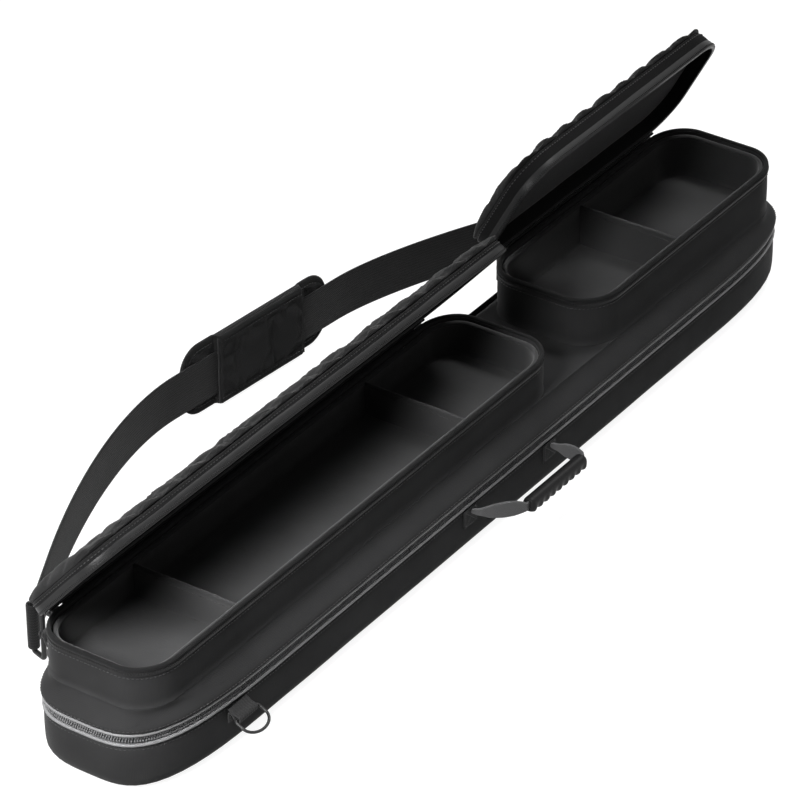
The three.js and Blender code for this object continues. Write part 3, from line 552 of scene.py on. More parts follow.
def woven(name, colour, thread, roughness, strength, sheen):
    """Cloth with a visible weave and a trace of lint."""
    mat, nt, shader = new_material(name)
    coords, height = weave_height(nt, thread)
    fuzz = noise_value(nt, coords.outputs["Object"], 900.0, 2.0)
    height = math_node(nt, "ADD", height, math_node(nt, "MULTIPLY", fuzz, 1.2))
    finish_surface(nt, shader, coords, height, strength, thread * 0.25, colour, colour * 1.8, roughness, 0.16)
    shader.inputs["Sheen Weight"].default_value = sheen
    shader.inputs["Sheen Roughness"].default_value = 0.5
    shader.inputs["Specular IOR Level"].default_value = 0.02
    return mat


def brushed(name, colour, strength):
    """Napped lining or flocked foam: fine random pile."""
    mat, nt, shader = new_material(name)
    coords = nt.nodes.new("ShaderNodeTexCoord")
    vector = coords.outputs["Object"]
    pile = noise_value(nt, vector, 1400.0, 2.0, 0.6)
    strokes = noise_value(nt, vector, 160.0, 4.0, 0.7)
    height = math_node(nt, "ADD", pile, strokes)
    finish_surface(nt, shader, coords, height, strength, 0.35, colour, colour * 1.4, 0.92, 0.1)
    shader.inputs["Sheen Weight"].default_value = 0.3
    shader.inputs["Specular IOR Level"].default_value = 0.02
    return mat


def webbing_material(name, colour):
    """Woven strap, on the strip's own coordinates: ribs along it, crossed by a tight diagonal weave."""
    mat, nt, shader = new_material(name)
    coords = nt.nodes.new("ShaderNodeTexCoord")
    strip = nt.nodes.new("ShaderNodeSeparateXYZ")
    nt.links.new(coords.outputs["UV"], strip.inputs[0])
    along, across = strip.outputs[0], strip.outputs[1]
    ribs = bands(nt, across, 2.4)
    slant = math_node(nt, "ADD", along, math_node(nt, "MULTIPLY", across, 0.8))
    counter = math_node(nt, "SUBTRACT", along, math_node(nt, "MULTIPLY", across, 0.8))
    twill = math_node(nt, "MAXIMUM", bands(nt, slant, 1.6), bands(nt, counter, 1.6))
    height = math_node(nt, "ADD", math_node(nt, "MULTIPLY", ribs, 0.6), twill)
    finish_surface(nt, shader, coords, height, 0.5, 0.22, colour, colour * 2.0, 0.66, 0.14)
    shader.inputs["Sheen Weight"].default_value = 0.12
    shader.inputs["Specular IOR Level"].default_value = 0.08
    return mat


def cord_material(name, colour):
    """A smooth cord with a fine twist and a soft shine."""
    mat, nt, shader = new_material(name)
    coords = nt.nodes.new("ShaderNodeTexCoord")
    place = nt.nodes.new("ShaderNodeSeparateXYZ")
    nt.links.new(coords.outputs["Object"], place.inputs[0])
    run = math_node(nt, "ADD", place.outputs[0], place.outputs[1])
    twist = bands(nt, math_node(nt, "ADD", run, math_node(nt, "MULTIPLY", place.outputs[2], 1.4)), 1.5)
    finish_surface(nt, shader, coords, twist, 0.25, 0.12, colour, colour * 1.3, 0.36, 0.12)
    shader.inputs["Specular IOR Level"].default_value = 0.3
    return mat


def moulded(name, colour, roughness):
    """Moulded plastic with a fine spark-eroded grain."""
    mat, nt, shader = new_material(name)
    coords = nt.nodes.new("ShaderNodeTexCoord")
    vector = coords.outputs["Object"]
    cells = nt.nodes.new("ShaderNodeTexVoronoi")
    cells.inputs["Scale"].default_value = 1100.0
    nt.links.new(vector, cells.inputs["Vector"])
    height = math_node(nt, "ADD", cells.outputs["Distance"], noise_value(nt, vector, 500.0))
    finish_surface(nt, shader, coords, height, 0.25, 0.15, colour, colour * 2.2, roughness, 0.14)
    shader.inputs["Specular IOR Level"].default_value = 0.15
    return mat


def coated_metal(name, colour, bare):
    """Black-coated steel with small scratches, rubbed bright at its edges."""
    mat, nt, shader = new_material(name)
    coords = nt.nodes.new("ShaderNodeTexCoord")
    vector = coords.outputs["Object"]
    stretch = nt.nodes.new("ShaderNodeMapping")
    stretch.inputs["Scale"].default_value = (40.0, 500.0, 300.0)
    nt.links.new(vector, stretch.inputs["Vector"])
    scratches = noise_value(nt, stretch.outputs[0], 3.0, 6.0, 0.75)
    finish_surface(nt, shader, coords, scratches, 0.12, 0.08, colour, bare, 0.32, 0.16)
    shader.inputs["Metallic"].default_value = 0.1
    shader.inputs["Specular IOR Level"].default_value = 0.25
    return mat


SHELL = woven("shell_cloth", 0.03, 0.9, roughness=0.6, strength=0.22, sheen=0.06)
TUB = woven("tub_cloth", 0.03, 0.9, roughness=0.6, strength=0.22, sheen=0.06)
POCKET = woven("pocket_cloth", 0.03, 0.9, roughness=0.6, strength=0.22, sheen=0.06)
LID_CLOTH = woven("lid_cloth", 0.012, 0.9, roughness=0.78, strength=0.22, sheen=0.05)
QUILT = woven("quilt_cloth", 0.016, 0.8, roughness=0.62, strength=0.25, sheen=0.08)
BINDING = woven("binding_tape", 0.014, 0.6, roughness=0.66, strength=0.4, sheen=0.08)
# Pad edging: a bound edge in a lighter grey, which paints the highlight along the pad's rim
EDGING_PAINTED_HIGHLIGHT = woven("edging_tape_painted_highlight", 0.024, 0.6, roughness=0.66, strength=0.4, sheen=0.1)
PAD_CLOTH = woven("pad_cloth", 0.016, 1.1, roughness=0.75, strength=0.5, sheen=0.1)
# Lining grey: lighter than the cloth, and raised further as painted light for the pocket floors that the lamps
# leave dark
LINING = brushed("pocket_lining", 0.045, strength=0.3)
FOAM = brushed("flocked_foam", 0.045, strength=0.6)
WEBBING = webbing_material("strap_webbing", 0.012)
HANDLE_WEB = webbing_material("handle_webbing", 0.085)
TAB_WEB = webbing_material("tab_webbing", 0.022)
CORD = cord_material("piping_cord", 0.22)
LIGHT_CORD = cord_material("lid_piping_cord", 0.03)
TEETH = moulded("zipper_teeth", 0.12, roughness=0.4)
DARK_TEETH = moulded("pocket_zipper_teeth", 0.012, roughness=0.42)
PLASTIC = moulded("moulded_plastic", 0.006, roughness=0.45)
METAL = coated_metal("coated_metal", 0.008, bare=0.05)
THREAD = cord_material("thread", 0.03)

# Shared plans of the case

BODY = Plan(-WIDTH / 2, WIDTH / 2, -LENGTH / 2, LENGTH / 2, CORNER_ACROSS, CORNER_ALONG, CORNER_POWER)


def pocket_plan(near, far, rim):
    return Plan(-POCKET_WIDTH / 2, POCKET_WIDTH / 2, near, far, POCKET_ACROSS, POCKET_ALONG, 2.0, rim)


POCKETS = {
    "long": pocket_plan(LONG_NEAR, LONG_FAR, LONG_RIM),
    "short": pocket_plan(SHORT_NEAR, SHORT_FAR, SHORT_RIM),
}
PIPING_OFFSET = HALF_GAP + TOOTH_HEIGHT + CLEAR + PIPING_RADIUS
TUB_TOP = ZIP_Z - PIPING_OFFSET - PIPING_RADIUS - CLEAR
SHELL_BOTTOM = ZIP_Z + PIPING_OFFSET + PIPING_RADIUS + CLEAR


def outward(points):
    """Unit normals in plan for a closed outline that runs anticlockwise."""
    p = np.asarray(points, float)[:, :2]
    d = np.roll(p, -1, 0) - np.roll(p, 1, 0)
    n = np.stack([d[:, 1], -d[:, 0], np.zeros(len(d))], 1)
    return n / np.linalg.norm(n, axis=1)[:, None]


CLOTH_FRAMES = 20


def inflate(obj, held, pressure, reach):
    """Cloth simulation: a little air swells the piece between its seams, by no more than reach."""
    group = obj.vertex_groups.new(name="held")
    group.add([int(i) for i in np.flatnonzero(held)], 1.0, "REPLACE")
    count = len(obj.data.vertices)
    rest = np.empty(count * 3)
    obj.data.vertices.foreach_get("co", rest)
    cloth = obj.modifiers.new("cloth", "CLOTH")
    settings = cloth.settings
    settings.quality = 5
    settings.mass = 0.15
    settings.tension_stiffness = 12.0
    settings.compression_stiffness = 4.0
    settings.shear_stiffness = 4.0
    settings.bending_stiffness = 0.2
    settings.vertex_group_mass = "held"
    settings.shrink_min = -0.03
    settings.use_pressure = True
    settings.uniform_pressure_force = pressure
    settings.effector_weights.gravity = 0.0
    cloth.collision_settings.use_collision = False
    cloth.point_cache.frame_start = 1
    cloth.point_cache.frame_end = CLOTH_FRAMES
    for step in range(1, CLOTH_FRAMES + 1):
        bpy.context.scene.frame_set(step)
    moved = np.empty(count * 3)
    obj.evaluated_get(bpy.context.evaluated_depsgraph_get()).data.vertices.foreach_get("co", moved)
    obj.modifiers.remove(cloth)
    obj.vertex_groups.remove(group)
    bpy.context.scene.frame_set(1)
    rest, moved = rest.reshape(-1, 3), moved.reshape(-1, 3)
    shift = np.nan_to_num(moved - rest)
    size = np.linalg.norm(shift, axis=1)[:, None]
    shift *= np.minimum(1.0, reach * MM / np.maximum(size, 1e-9))
    obj.data.vertices.foreach_set("co", (rest + shift).ravel())
    obj.data.update()


# Lower half

def lower_tub():
    steps = 10
    outside, inside = [], []
    for k in range(steps + 1):
        a = math.radians(90 * k / steps)
        in_share, up_share = 1 - math.sin(a), 1 - math.cos(a)
        r = TUB_BASE_RADIUS - TUB_WALL
        outside.append(ring(BODY, TUB_BULGE - TUB_BASE_RADIUS * in_share, TUB_BASE_RADIUS * up_share))
        inside.insert(0, ring(BODY, TUB_BULGE - TUB_WALL - r * in_share, TUB_WALL + r * up_share))
    rise = TUB_TOP - TUB_BASE_RADIUS - 1.2
    side = [
        ring(BODY, TUB_BULGE + 0.25 * math.sin(math.pi * t), TUB_BASE_RADIUS + t * rise)
        for t in (0.25, 0.5, 0.75, 1.0)
    ]
    rim = [
        ring(BODY, TUB_BULGE - 0.25, TUB_TOP - 0.5),
        ring(BODY, TUB_BULGE - 0.8, TUB_TOP),
        ring(BODY, TUB_BULGE - TUB_WALL + 0.5, TUB_TOP),
        ring(BODY, TUB_BULGE - TUB_WALL, TUB_TOP - 0.5),
    ]
    verts, faces = loft(outside + side + rim + inside)
    soft = cloth_noise(verts, 55.0, 0.3)
    soft[:, 2] = np.maximum(soft[:, 2], 0.0)
    soft[verts[:, 2] < 0.01, 2] = 0.0
    return soft, faces


piece("tub_cover", lower_tub(), TUB, "lower_case", ["lower_tub"], "shell_fabric")


def seam_row(plan, grow, z, **settings):
    pts = outline(plan, grow)
    return stitch_run(at_height(pts, z), outward(pts), closed=True, **settings)


tub_seam = seam_row(BODY, TUB_BULGE + 0.05, TUB_TOP - 2.6)
piece("tub_top_stitching", tub_seam, THREAD, "lower_case", slot="shell_fabric")


def piping(z):
    return band(BODY, circle(PIPING_OUT, z, PIPING_RADIUS, 12))


for half, z in (("lower", ZIP_Z - PIPING_OFFSET), ("upper", ZIP_Z + PIPING_OFFSET)):
    piece(f"{half}_piping_cord", piping(z), CORD, f"{half}_case", [f"{half}_piping"], "piping")

LOWER_TAPE_OUT = TUB_BULGE - TUB_WALL - CLEAR
UPPER_TAPE_OUT = SHELL_OVERHANG - SHELL_WALL - CLEAR


def tape(way, out, height):
    edge = ZIP_Z + way * (HALF_GAP + 0.1)
    hidden = ZIP_Z + way * (HALF_GAP + height)
    back = out - TAPE_THICK
    return open_band(BODY, ZIP_END, [(back, hidden), (out, hidden), (out, edge), (back, edge)])


def teeth(path, way, pitch, width, height, depth, z):
    """A row of small wedge-shaped teeth on the outside of a path, pointing up or down."""
    where, direction = curve_points(path, pitch)
    out = np.stack([direction[:, 1], -direction[:, 0]], 1)
    verts, faces = [], []
    for p, t, n in zip(where, direction, out):
        base = len(verts)
        for level, half, front in ((0.0, 0.5, 0.75), (0.55, 0.5, 1.0), (1.0, 0.36, 0.8)):
            for s, d in ((-half, 0.0), (half, 0.0), (half * 0.8, front), (-half * 0.8, front)):
                xy = p + t * s * width + n * d * depth
                verts.append((xy[0], xy[1], z + way * height * level))
        for low in (base, base + 4):
            for k in range(4):
                m = (k + 1) % 4
                faces.append((low + k, low + m, low + 4 + m, low + 4 + k))
        faces.append((base + 3, base + 2, base + 1, base))
        faces.append((base + 8, base + 9, base + 10, base + 11))
    return np.array(verts), faces


def main_teeth(way, out):
    path = open_outline(BODY, out + 0.05, ZIP_END - 2)
    start = ZIP_Z + way * (HALF_GAP + TOOTH_HEIGHT)
    return teeth(path, -way, TOOTH_PITCH, 1.15, TOOTH_HEIGHT, TOOTH_OUT - out, start)


MAIN_TAPES = {
    "lower": (-1, LOWER_TAPE_OUT, LOWER_TAPE_HEIGHT),
    "upper": (1, UPPER_TAPE_OUT, UPPER_TAPE_HEIGHT),
}
for half, (way, out, height) in MAIN_TAPES.items():
    zipper = merge(tape(way, out, height), main_teeth(way, out))
    piece(f"{half}_zipper", zipper, TEETH, f"{half}_case", [f"{half}_zipper_tape"], "zipper_teeth")


def half_width_at(plan, grow, y):
    rx, ry = plan.across + grow, plan.along + grow
    near = (plan.y0 - grow + ry - y) / ry
    far = (y - plan.y1 - grow + ry) / ry
    t = min(max(near, far, 0.0), 1.0)
    return plan.x1 + grow - rx * (1 - (1 - t ** plan.power) ** (1 / plan.power))


def cradle():
    """Foam with four rounded channels: a strip of sections across the case."""
    grow = LOWER_TAPE_OUT - TAPE_THICK - CLEAR
    low = TUB_WALL + CLEAR
    ys = np.concatenate([
        plan_steps(BODY.y0 - grow + 1.5, BODY.y0 + CORNER_ALONG, 22, True),
        np.linspace(BODY.y0 + CORNER_ALONG, BODY.y1 - CORNER_ALONG, 50)[1:-1],
        plan_steps(BODY.y1 - CORNER_ALONG, BODY.y1 + grow - 1.5, 22, False),
    ])
    sections = []
    for y in ys:
        half = half_width_at(BODY, grow, y)
        x = np.linspace(-1, 1, FOAM_TOP_POINTS) * half
        open_share = np.clip((GROOVE_LENGTH / 2 - abs(y)) / 6.0, 0, 1)
        z = np.full(FOAM_TOP_POINTS, CRADLE_TOP)
        for cx, r in GROOVES:
            inside = np.clip(1 - ((x - cx) / r) ** 2, 0, None)
            z -= r * np.sqrt(inside) * math.sqrt(open_share)
        z[0] -= 1.2
        z[-1] -= 1.2
        bottom_x = np.linspace(1, -1, FOAM_BASE_POINTS) * half
        rise = TUB_BASE_RADIUS - TUB_WALL
        depth = np.clip((half - np.abs(bottom_x)) / rise, 0, 1)
        bottom_z = low + rise * (1 - np.sqrt(np.clip(1 - (1 - depth) ** 2, 0, 1)))
        end_depth = np.clip(min(y - BODY.y0 + grow, BODY.y1 + grow - y) / rise, 0, 1)
        bottom_z = np.maximum(bottom_z, low + rise * (1 - math.sqrt(max(1 - (1 - end_depth) ** 2, 0))))
        line = np.concatenate([np.stack([x, z], 1), np.stack([bottom_x, bottom_z], 1)])
        sections.append(np.column_stack([line[:, 0], np.full(len(line), y), line[:, 1]]))
    return loft(sections)


def plan_steps(start, end, count, dense_start):
    """Places from start to end, closer together at the rounded end."""
    t = np.linspace(0, 1, count)
    t = 1 - np.cos(t * math.pi / 2) if dense_start else np.sin(t * math.pi / 2)
    return start + (end - start) * t


foam = piece("cue_foam", cradle(), FOAM, "lower_case", ["cue_cradle"], "foam", sharp=50)


def hinge_strip(out, edge, height, end):
    """A folded strip of cloth with a rolled edge at the fold."""
    direction = 1 if height > 0 else -1
    rings = []
    for y in np.linspace(-end, end, 90):
        wave = 0.12 * math.sin(y / 9.0) + 0.1 * math.sin(y / 23.0)
        x0, x1 = -out - 0.8 - wave * 0.6, -out - wave * 0.2
        z0, z1 = edge, edge + height
        roll = 0.35 * direction
        rings.append(np.array([
            (x1, y, z0 + roll), (x1 - 0.2, y, z0), (x0 + 0.2, y, z0), (x0, y, z0 + roll),
            (x0, y, z1 - roll), (x0 + 0.3, y, z1), (x1, y, z1),
        ]))
    return loft(rings)


LEAF_END = ZIP_END - 4
LEAF_DEPTH = 14
LEAF_SEAM = 11.5
LOWER_LEAF = WIDTH / 2 + max(TUB_BULGE, PIPING_OUT + PIPING_RADIUS) + CLEAR
UPPER_LEAF = WIDTH / 2 + SHELL_OVERHANG + CLEAR


def leaf_stitches(out, z, end):
    line = np.array([(-out - 0.95, -end, z), (-out - 0.95, end, z)])
    return stitch_run(line, (-1, 0, 0))


for half, out, way in (("lower", LOWER_LEAF, -1), ("upper", UPPER_LEAF, 1)):
    leaf = merge(
        hinge_strip(out, ZIP_Z + way * HALF_GAP, way * LEAF_DEPTH, LEAF_END),
        leaf_stitches(out, ZIP_Z + way * LEAF_SEAM, LEAF_END - 4),
    )
    piece(f"hinge_strip_{half}", leaf, BINDING, f"{half}_case", [f"main_hinge_{half}_leaf"], "shell_fabric")

# Upper half


def shoulder_plan(share):
    def mix(low, high):
        return low + (high - low) * share

    half = mix(WIDTH / 2 + SHELL_OVERHANG, POCKET_WIDTH / 2 + SADDLE_MARGIN)
    return Plan(
        -half, half,
        mix(-LENGTH / 2 - SHELL_OVERHANG, LONG_NEAR - SADDLE_MARGIN),
        mix(LENGTH / 2 + SHELL_OVERHANG, SHORT_FAR + SADDLE_MARGIN),
        mix(CORNER_ACROSS + SHELL_OVERHANG, POCKET_ACROSS + SADDLE_MARGIN),
        mix(CORNER_ALONG + SHELL_OVERHANG, POCKET_ALONG + SADDLE_MARGIN),
        mix(CORNER_POWER, 2.0),
    )


def shoulder_rings(grow, drop, steps):
    rings = []
    for k in range(steps + 1):
        u = k / steps
        share = (1 - math.cos(math.pi * u)) / 2
        z = SHOULDER_START + (SADDLE - SHOULDER_START) * u - drop * share
        rings.append(ring(shoulder_plan(share), grow, z))
    return rings


def upper_shell():
    base = shoulder_plan(0)
    edge = [
        ring(base, -SHELL_WALL, SHELL_BOTTOM + 0.6),
        ring(base, -SHELL_WALL + 0.6, SHELL_BOTTOM),
        ring(base, -0.9, SHELL_BOTTOM),
        ring(base, -0.2, SHELL_BOTTOM + 0.5),
        ring(base, 0.1, SHELL_BOTTOM + 1.4),
    ]
    inside = shoulder_rings(-SHELL_WALL, SHELL_WALL, 8)[::-1]
    outside = shoulder_rings(0, 0, 20)
    top = shoulder_plan(1)
    saddle = [ring(top, -2.0, SADDLE + 0.02)]
    verts, faces = loft(inside + edge + outside + saddle)
    return cloth_noise(verts, 55.0, 0.28, seed=3.0), faces


piece("shell_cover", upper_shell(), SHELL, "upper_case", ["upper_shell"], "shell_fabric")
shell_seam = seam_row(shoulder_plan(0), 0.15, SHELL_BOTTOM + 2.4)
piece("shell_edge_stitching", shell_seam, THREAD, "upper_case", slot="shell_fabric")


def lining_pad():
    """The soft lining under the saddle, with a low crown and a rolled edge."""
    rings = shoulder_rings(-SHELL_WALL - LINING_PAD_GAP, SHELL_WALL + LINING_PAD_GAP, 12)
    rings = [r for r in rings if r[0][2] > LINING_PAD_LOW + 1]
    edge = rings[0]
    below = []
    for share, fall in ((0.80, 0.0), (0.88, 0.15), (0.95, 0.8), (0.985, 1.8)):
        shrunk = edge.copy()
        shrunk[:, :2] = edge[:, :2] * np.array([share, 1 - (1 - share) * 0.14])
        shrunk[:, 2] = LINING_PAD_LOW + fall
        below.append(shrunk)
    return loft(below + rings)


pad = piece("shell_lining", lining_pad(), LINING, "upper_case", ["upper_lining_pad"], "lining", sharp=60)

# Pockets


def pocket_wall(plan):
    top = plan.rim - 1.5
    foot = SADDLE + 0.1
    section = []
    for t in np.linspace(0, 1, 12):
        bulge = 0.5 * math.sin(math.pi * min(t * 1.1, 1.0))
        flare = 1.6 * (1 - t / 0.12) ** 2 if t < 0.12 else 0.0
        section.append((bulge + flare * 0.55, foot + (top - foot) * t))
    section += [(-POCKET_WALL, top), (-POCKET_WALL, foot)]
    verts, faces = band(plan, section)
    return cloth_noise(verts, 48.0, 0.3, seed=7.0), faces


def rim_binding(plan):
    """A rolled binding over the top edge of the wall."""
    radius = 1.9
    middle = plan.rim - radius
    section = [(-1.0 + radius * math.cos(a), middle + radius * math.sin(a)) for a in degrees(200, -20, 14)]
    foot = ((0.75, 3.2), (0.45, 3.6), (0.3, 3.6), (0.3, 2.4), (-POCKET_WALL + 0.2, 2.4))
    return band(plan, section + [(grow, plan.rim - drop) for grow, drop in foot])


def pocket_teeth(plan, way, z):
    path = outline(plan, 0.7)
    return teeth(np.concatenate([path, path[:1]]), way, TOOTH_PITCH, 1.1, 1.5, 0.6, z)


def rim_zipper(plan):
    """The pocket's tooth row on its tape, just under the binding."""
    low, high = plan.rim - RIM_TAPE_HEIGHT, plan.rim - 3.5
    strip = band(plan, [(0.35, low), (0.75, low), (0.75, high), (0.35, high)])
    return merge(strip, pocket_teeth(plan, 1, plan.rim - 5.2))


def liner(plan):
    out = -POCKET_WALL - CLEAR
    inn = out - LINER_WALL
    lip = plan.rim - LIP_DROP
    floor = SADDLE + CLEAR + LINER_FLOOR
    rings = [ring(plan, out, SADDLE + CLEAR), ring(plan, out, lip - 2.2)]
    for a in degrees(180, 0, 9):
        g = (out + inn) / 2 - (LINER_WALL / 2 + 0.15) * math.cos(a)
        rings.append(ring(plan, out + inn - g, lip - 2.0 + 2.0 * math.sin(a)))
    rings += [ring(plan, inn, lip - 2.6), ring(plan, inn + 0.35, lip - 3.4)]
    for t in (0.3, 0.6, 0.85):
        rings.append(ring(plan, inn + 0.3, lip - 3.4 - t * (lip - 3.4 - floor - 3)))
    corner = 3.0
    for a in np.radians((0, 25, 50, 75, 90)):
        grow = inn + 0.3 - corner * (1 - math.cos(a))
        rings.append(ring(plan, grow, floor + corner * (1 - math.sin(a))))
    for grow in (-14, -20, -27, -33):
        rings.append(ring(plan, inn + grow, floor + 0.03))
    verts, faces = loft(rings)
    low = verts[:, 2] < floor + 0.1
    soft = cloth_noise(verts, 40.0, 0.22, seed=11.0)
    soft[low & (verts[:, 2] > floor - 0.5), 2] += 0.1
    return soft, faces


def divider(plan, y):
    """A thin padded wall with a rolled top edge, drawn in where it meets the liner."""
    half = POCKET_WIDTH / 2 - POCKET_WALL - CLEAR - LINER_WALL - CLEAR
    low = SADDLE + CLEAR + LINER_FLOOR + CLEAR
    high = plan.rim - LIP_DROP - DIVIDER_DROP
    thick = DIVIDER_THICK / 2
    rings = []
    for x in np.linspace(-half, half, 40):
        sway = 0.25 * math.sin(x / 13.0)
        end = min((half - abs(x)) / 4.0, 1.0)
        t = thick * (0.82 + 0.18 * end)
        pts = [(-t * 1.15, low), (-t * 0.86, low + 2.5), (-t * 0.8, high - 4.0), (-t, high - 3.2)]
        pts += [(-t * math.cos(a), high - 1.5 + 1.5 * math.sin(a)) for a in degrees(15, 165, 7)]
        pts += [(t, high - 3.2), (t * 0.8, high - 4.0), (t * 0.86, low + 2.5), (t * 1.15, low)]
        rings.append(np.array([(x, y + sway + d, z) for d, z in pts]))
    return loft(rings)


def divider_stitches(plan, y):
    half = POCKET_WIDTH / 2 - 10
    z = plan.rim - LIP_DROP - DIVIDER_DROP - 5.0
    rows = []
    x = np.linspace(-half, half, 30)
    for side in (-1, 1):
        line = np.column_stack([x, y + side * 1.25 + 0.25 * np.sin(x / 13.0), np.full(30, z)])
        rows.append(stitch_run(line, (0, side, 0), radius=0.25))
    return merge(*rows)


def lid_leaf(plan, low, height):
    """A short cloth strip along the pocket's back, from low up or down by height."""
    out = POCKET_WIDTH / 2 + 1.0 + CLEAR
    near, far = plan.y0 + LEAF_REACH, plan.y1 - LEAF_REACH
    rings = []
    for y in np.linspace(near, far, max(int((far - near) / 6), 2)):
        wave = 0.1 * math.sin(y / 8.0)
        x0, x1 = -out - 0.75 - wave, -out - wave * 0.3
        section = ((x1, 0), (x0 + 0.2, 0), (x0, 0.12), (x0, 0.88), (x0 + 0.2, 1), (x1, 1))
        rings.append(np.array([(x, y, low + height * share) for x, share in section]))
    seam = low + height * 0.7
    line = np.array([(-out - 0.85, near + 4, seam), (-out - 0.85, far - 4, seam)])
    return merge(loft(rings), stitch_run(line, (-1, 0, 0)))


def build_pocket(kind):
    plan = POCKETS[kind]

    def pocket_piece(name, data, material, slot, *replaced):
        nodes = [f"{kind}_pocket_{node}" for node in replaced]
        return piece(f"{kind}_{name}", data, material, "upper_case", nodes, slot)

    pocket_piece("pocket_side", pocket_wall(plan), POCKET, "shell_fabric", "wall")
    pocket_piece("rim_binding", rim_binding(plan), BINDING, "shell_fabric", "rim_tape")
    pocket_piece("rim_zipper", rim_zipper(plan), DARK_TEETH, "zipper_teeth")
    pocket_piece("rim_stitching", seam_row(plan, 0.5, plan.rim - 8.6), THREAD, "shell_fabric")
    pocket_piece("pocket_lining", liner(plan), LINING, "lining", "liner")
    for i, y in enumerate(DIVIDERS[kind], 1):
        data = merge(divider(plan, y), divider_stitches(plan, y))
        pocket_piece(f"divider_{i}", data, LINING, "lining", f"divider_{i}")
    pocket_piece("hinge_cloth", lid_leaf(plan, plan.rim, -LEAF_HEIGHT), BINDING, "shell_fabric", "hinge_leaf")


for kind in POCKETS:
    build_pocket(kind)


def hinge_fold(name, x, z, radius, near, far):
    """The cloth where it folds along a hinge line."""
    ys = np.linspace(near, far, int((far - near) / 5))
    sway = 0.12 * np.sin(ys / 11.0)
    data = wire(np.column_stack([x + sway, ys, np.full(len(ys), z)]), radius, (0, 0, 1), 10, closed=False)
    piece(name, data, BINDING, "upper_case", slot="shell_fabric")


for kind, plan in POCKETS.items():
    hinge_fold(f"{kind}_hinge_fold", LID_AXIS_X + 0.4, plan.rim + HALF_GAP, 1.0, plan.y0 + 26, plan.y1 - 26)
hinge_fold("main_hinge_fold", -UPPER_LEAF - 0.2, ZIP_Z, 0.7, -LEAF_END, LEAF_END)

# Lids, drawn closed and turned open about the hinge line


def lid_foot(plan):
    return plan.rim + 2 * HALF_GAP


def lid_side(plan, top):
    foot = lid_foot(plan) + 1.5
    inner_top = top - LID_WALL
    inside = ((-14, inner_top), (-LID_WALL, inner_top), (-LID_WALL, foot), (0, foot))
    rings = [ring(plan, grow, z) for grow, z in inside]
    for t in np.linspace(0.1, 0.85, 6):
        rings.append(ring(plan, 0.45 * math.sin(math.pi * t), foot + t * (top - foot)))
    rings += [ring(plan, -0.3, top - 0.5), ring(plan, -1.0, top), ring(plan, -14, top)]
    verts, faces = loft(rings)
    return cloth_noise(verts, 45.0, 0.22, seed=17.0), faces


def quilt_rows(plan):
    """The lid's inset plan, and how many sewn channels run across it."""
    x0, x1, y0, y1, across, along = plan[:6]
    inset = QUILT_INSET
    inner = Plan(x0 + inset, x1 - inset, y0 + inset, y1 - inset, across - inset, along - inset)
    return inner, round((inner.y1 - inner.y0) / QUILT_PITCH)


def quilted_top(plan, low):
    """A padded top, sewn down along lines across the lid and puffed between them, and its held points."""
    inner, channels = quilt_rows(plan)
    length = inner.y1 - inner.y0
    steps = QUILT_STEPS
    side = np.radians(np.linspace(-90, 80, 8))
    crown = np.sin(np.linspace(math.pi / 2, -math.pi / 2, 33))
    sections, held = [], []
    for j in range(channels * steps + 1):
        y = inner.y0 + length * j / (channels * steps)
        puff = abs(math.sin(math.pi * j / steps)) ** 0.6
        end = min(j, channels * steps - j) / 5.0
        fade = min(end, 1.0) ** 0.5
        foot = half_width_at(inner, 0, min(max(y, inner.y0 + 0.3), inner.y1 - 0.3)) - 0.6
        edge = QUILT_EDGE + (QUILT_PUFF + 1.5) * puff
        rise = QUILT_CROWN * (QUILT_VALLEY + (1 - QUILT_VALLEY) * puff) * fade
        out = 0.7 + (QUILT_SPREAD + 1.6) * puff
        right = np.stack([foot + out * np.cos(side), low + edge / 2 * (1 + np.sin(side))], 1)
        x = foot * crown
        z = low + edge + rise * (1 - crown ** 4) ** 0.8
        crease = np.array([noise.noise(Vector((xx / 8.0, y / 5.0, 4.0))) for xx in x])
        z += crease * 0.5 * (1 - puff) * (1 - crown ** 8) + 0.25 * crease * fade
        left = right[::-1] * np.array([-1, 1])
        line = np.concatenate([right, np.stack([x, z], 1), left])
        section = np.column_stack([line[:, 0], np.full(len(line), y), line[:, 1]])
        seam = j % steps == 0
        held += [seam or k < 4 or k >= len(line) - 4 for k in range(len(line))]
        sections.append(section)
    return loft(sections), np.array(held)


def quilt_stitches(plan, low):
    inner, channels = quilt_rows(plan)
    rows = []
    for c in range(1, channels):
        y = inner.y0 + (inner.y1 - inner.y0) * c / channels
        half = half_width_at(inner, 0, y) - 0.6
        x = np.linspace(-half + 5, half - 5, 26)
        z = low + QUILT_EDGE + QUILT_CROWN * QUILT_VALLEY * (1 - (x / half) ** 4) ** 0.8 + 0.15
        rows.append(stitch_run(np.column_stack([x, np.full(len(x), y), z]), (0, 0, 1), radius=0.3))
    return merge(*rows)


def lid_rim(plan):
    """The lid's tooth row on its tape."""
    foot_z = lid_foot(plan)
    top = RIM_TAPE_HEIGHT
    section = (
        (-POCKET_WALL, 0), (0.5, 0), (0.75, 0.5), (0.75, top - 1.6),
        (0.3, top), (0.3, 1.2), (-POCKET_WALL, 1.2),
    )
    strip = band(plan, [(grow, foot_z + rise) for grow, rise in section])
    return merge(strip, pocket_teeth(plan, -1, foot_z + 2.4))


def lid_piping(plan):
    return band(plan, circle(-POCKET_WALL + 1.3, lid_foot(plan) + 0.75, 0.95, 10))


def lid_lining(plan, high):
    out = -LID_WALL - CLEAR
    rings = [ring(plan, out, high), ring(plan, out, high - LID_LINING * 0.4)]
    face = ((0.6, 0), (4, 0.05), (9, 0.2), (16, 0.3), (25, 0.3))
    rings += [ring(plan, out - g, high - LID_LINING - d) for g, d in face]
    verts, faces = loft(rings)
    return cloth_noise(verts, 30.0, 0.25, seed=23.0), faces


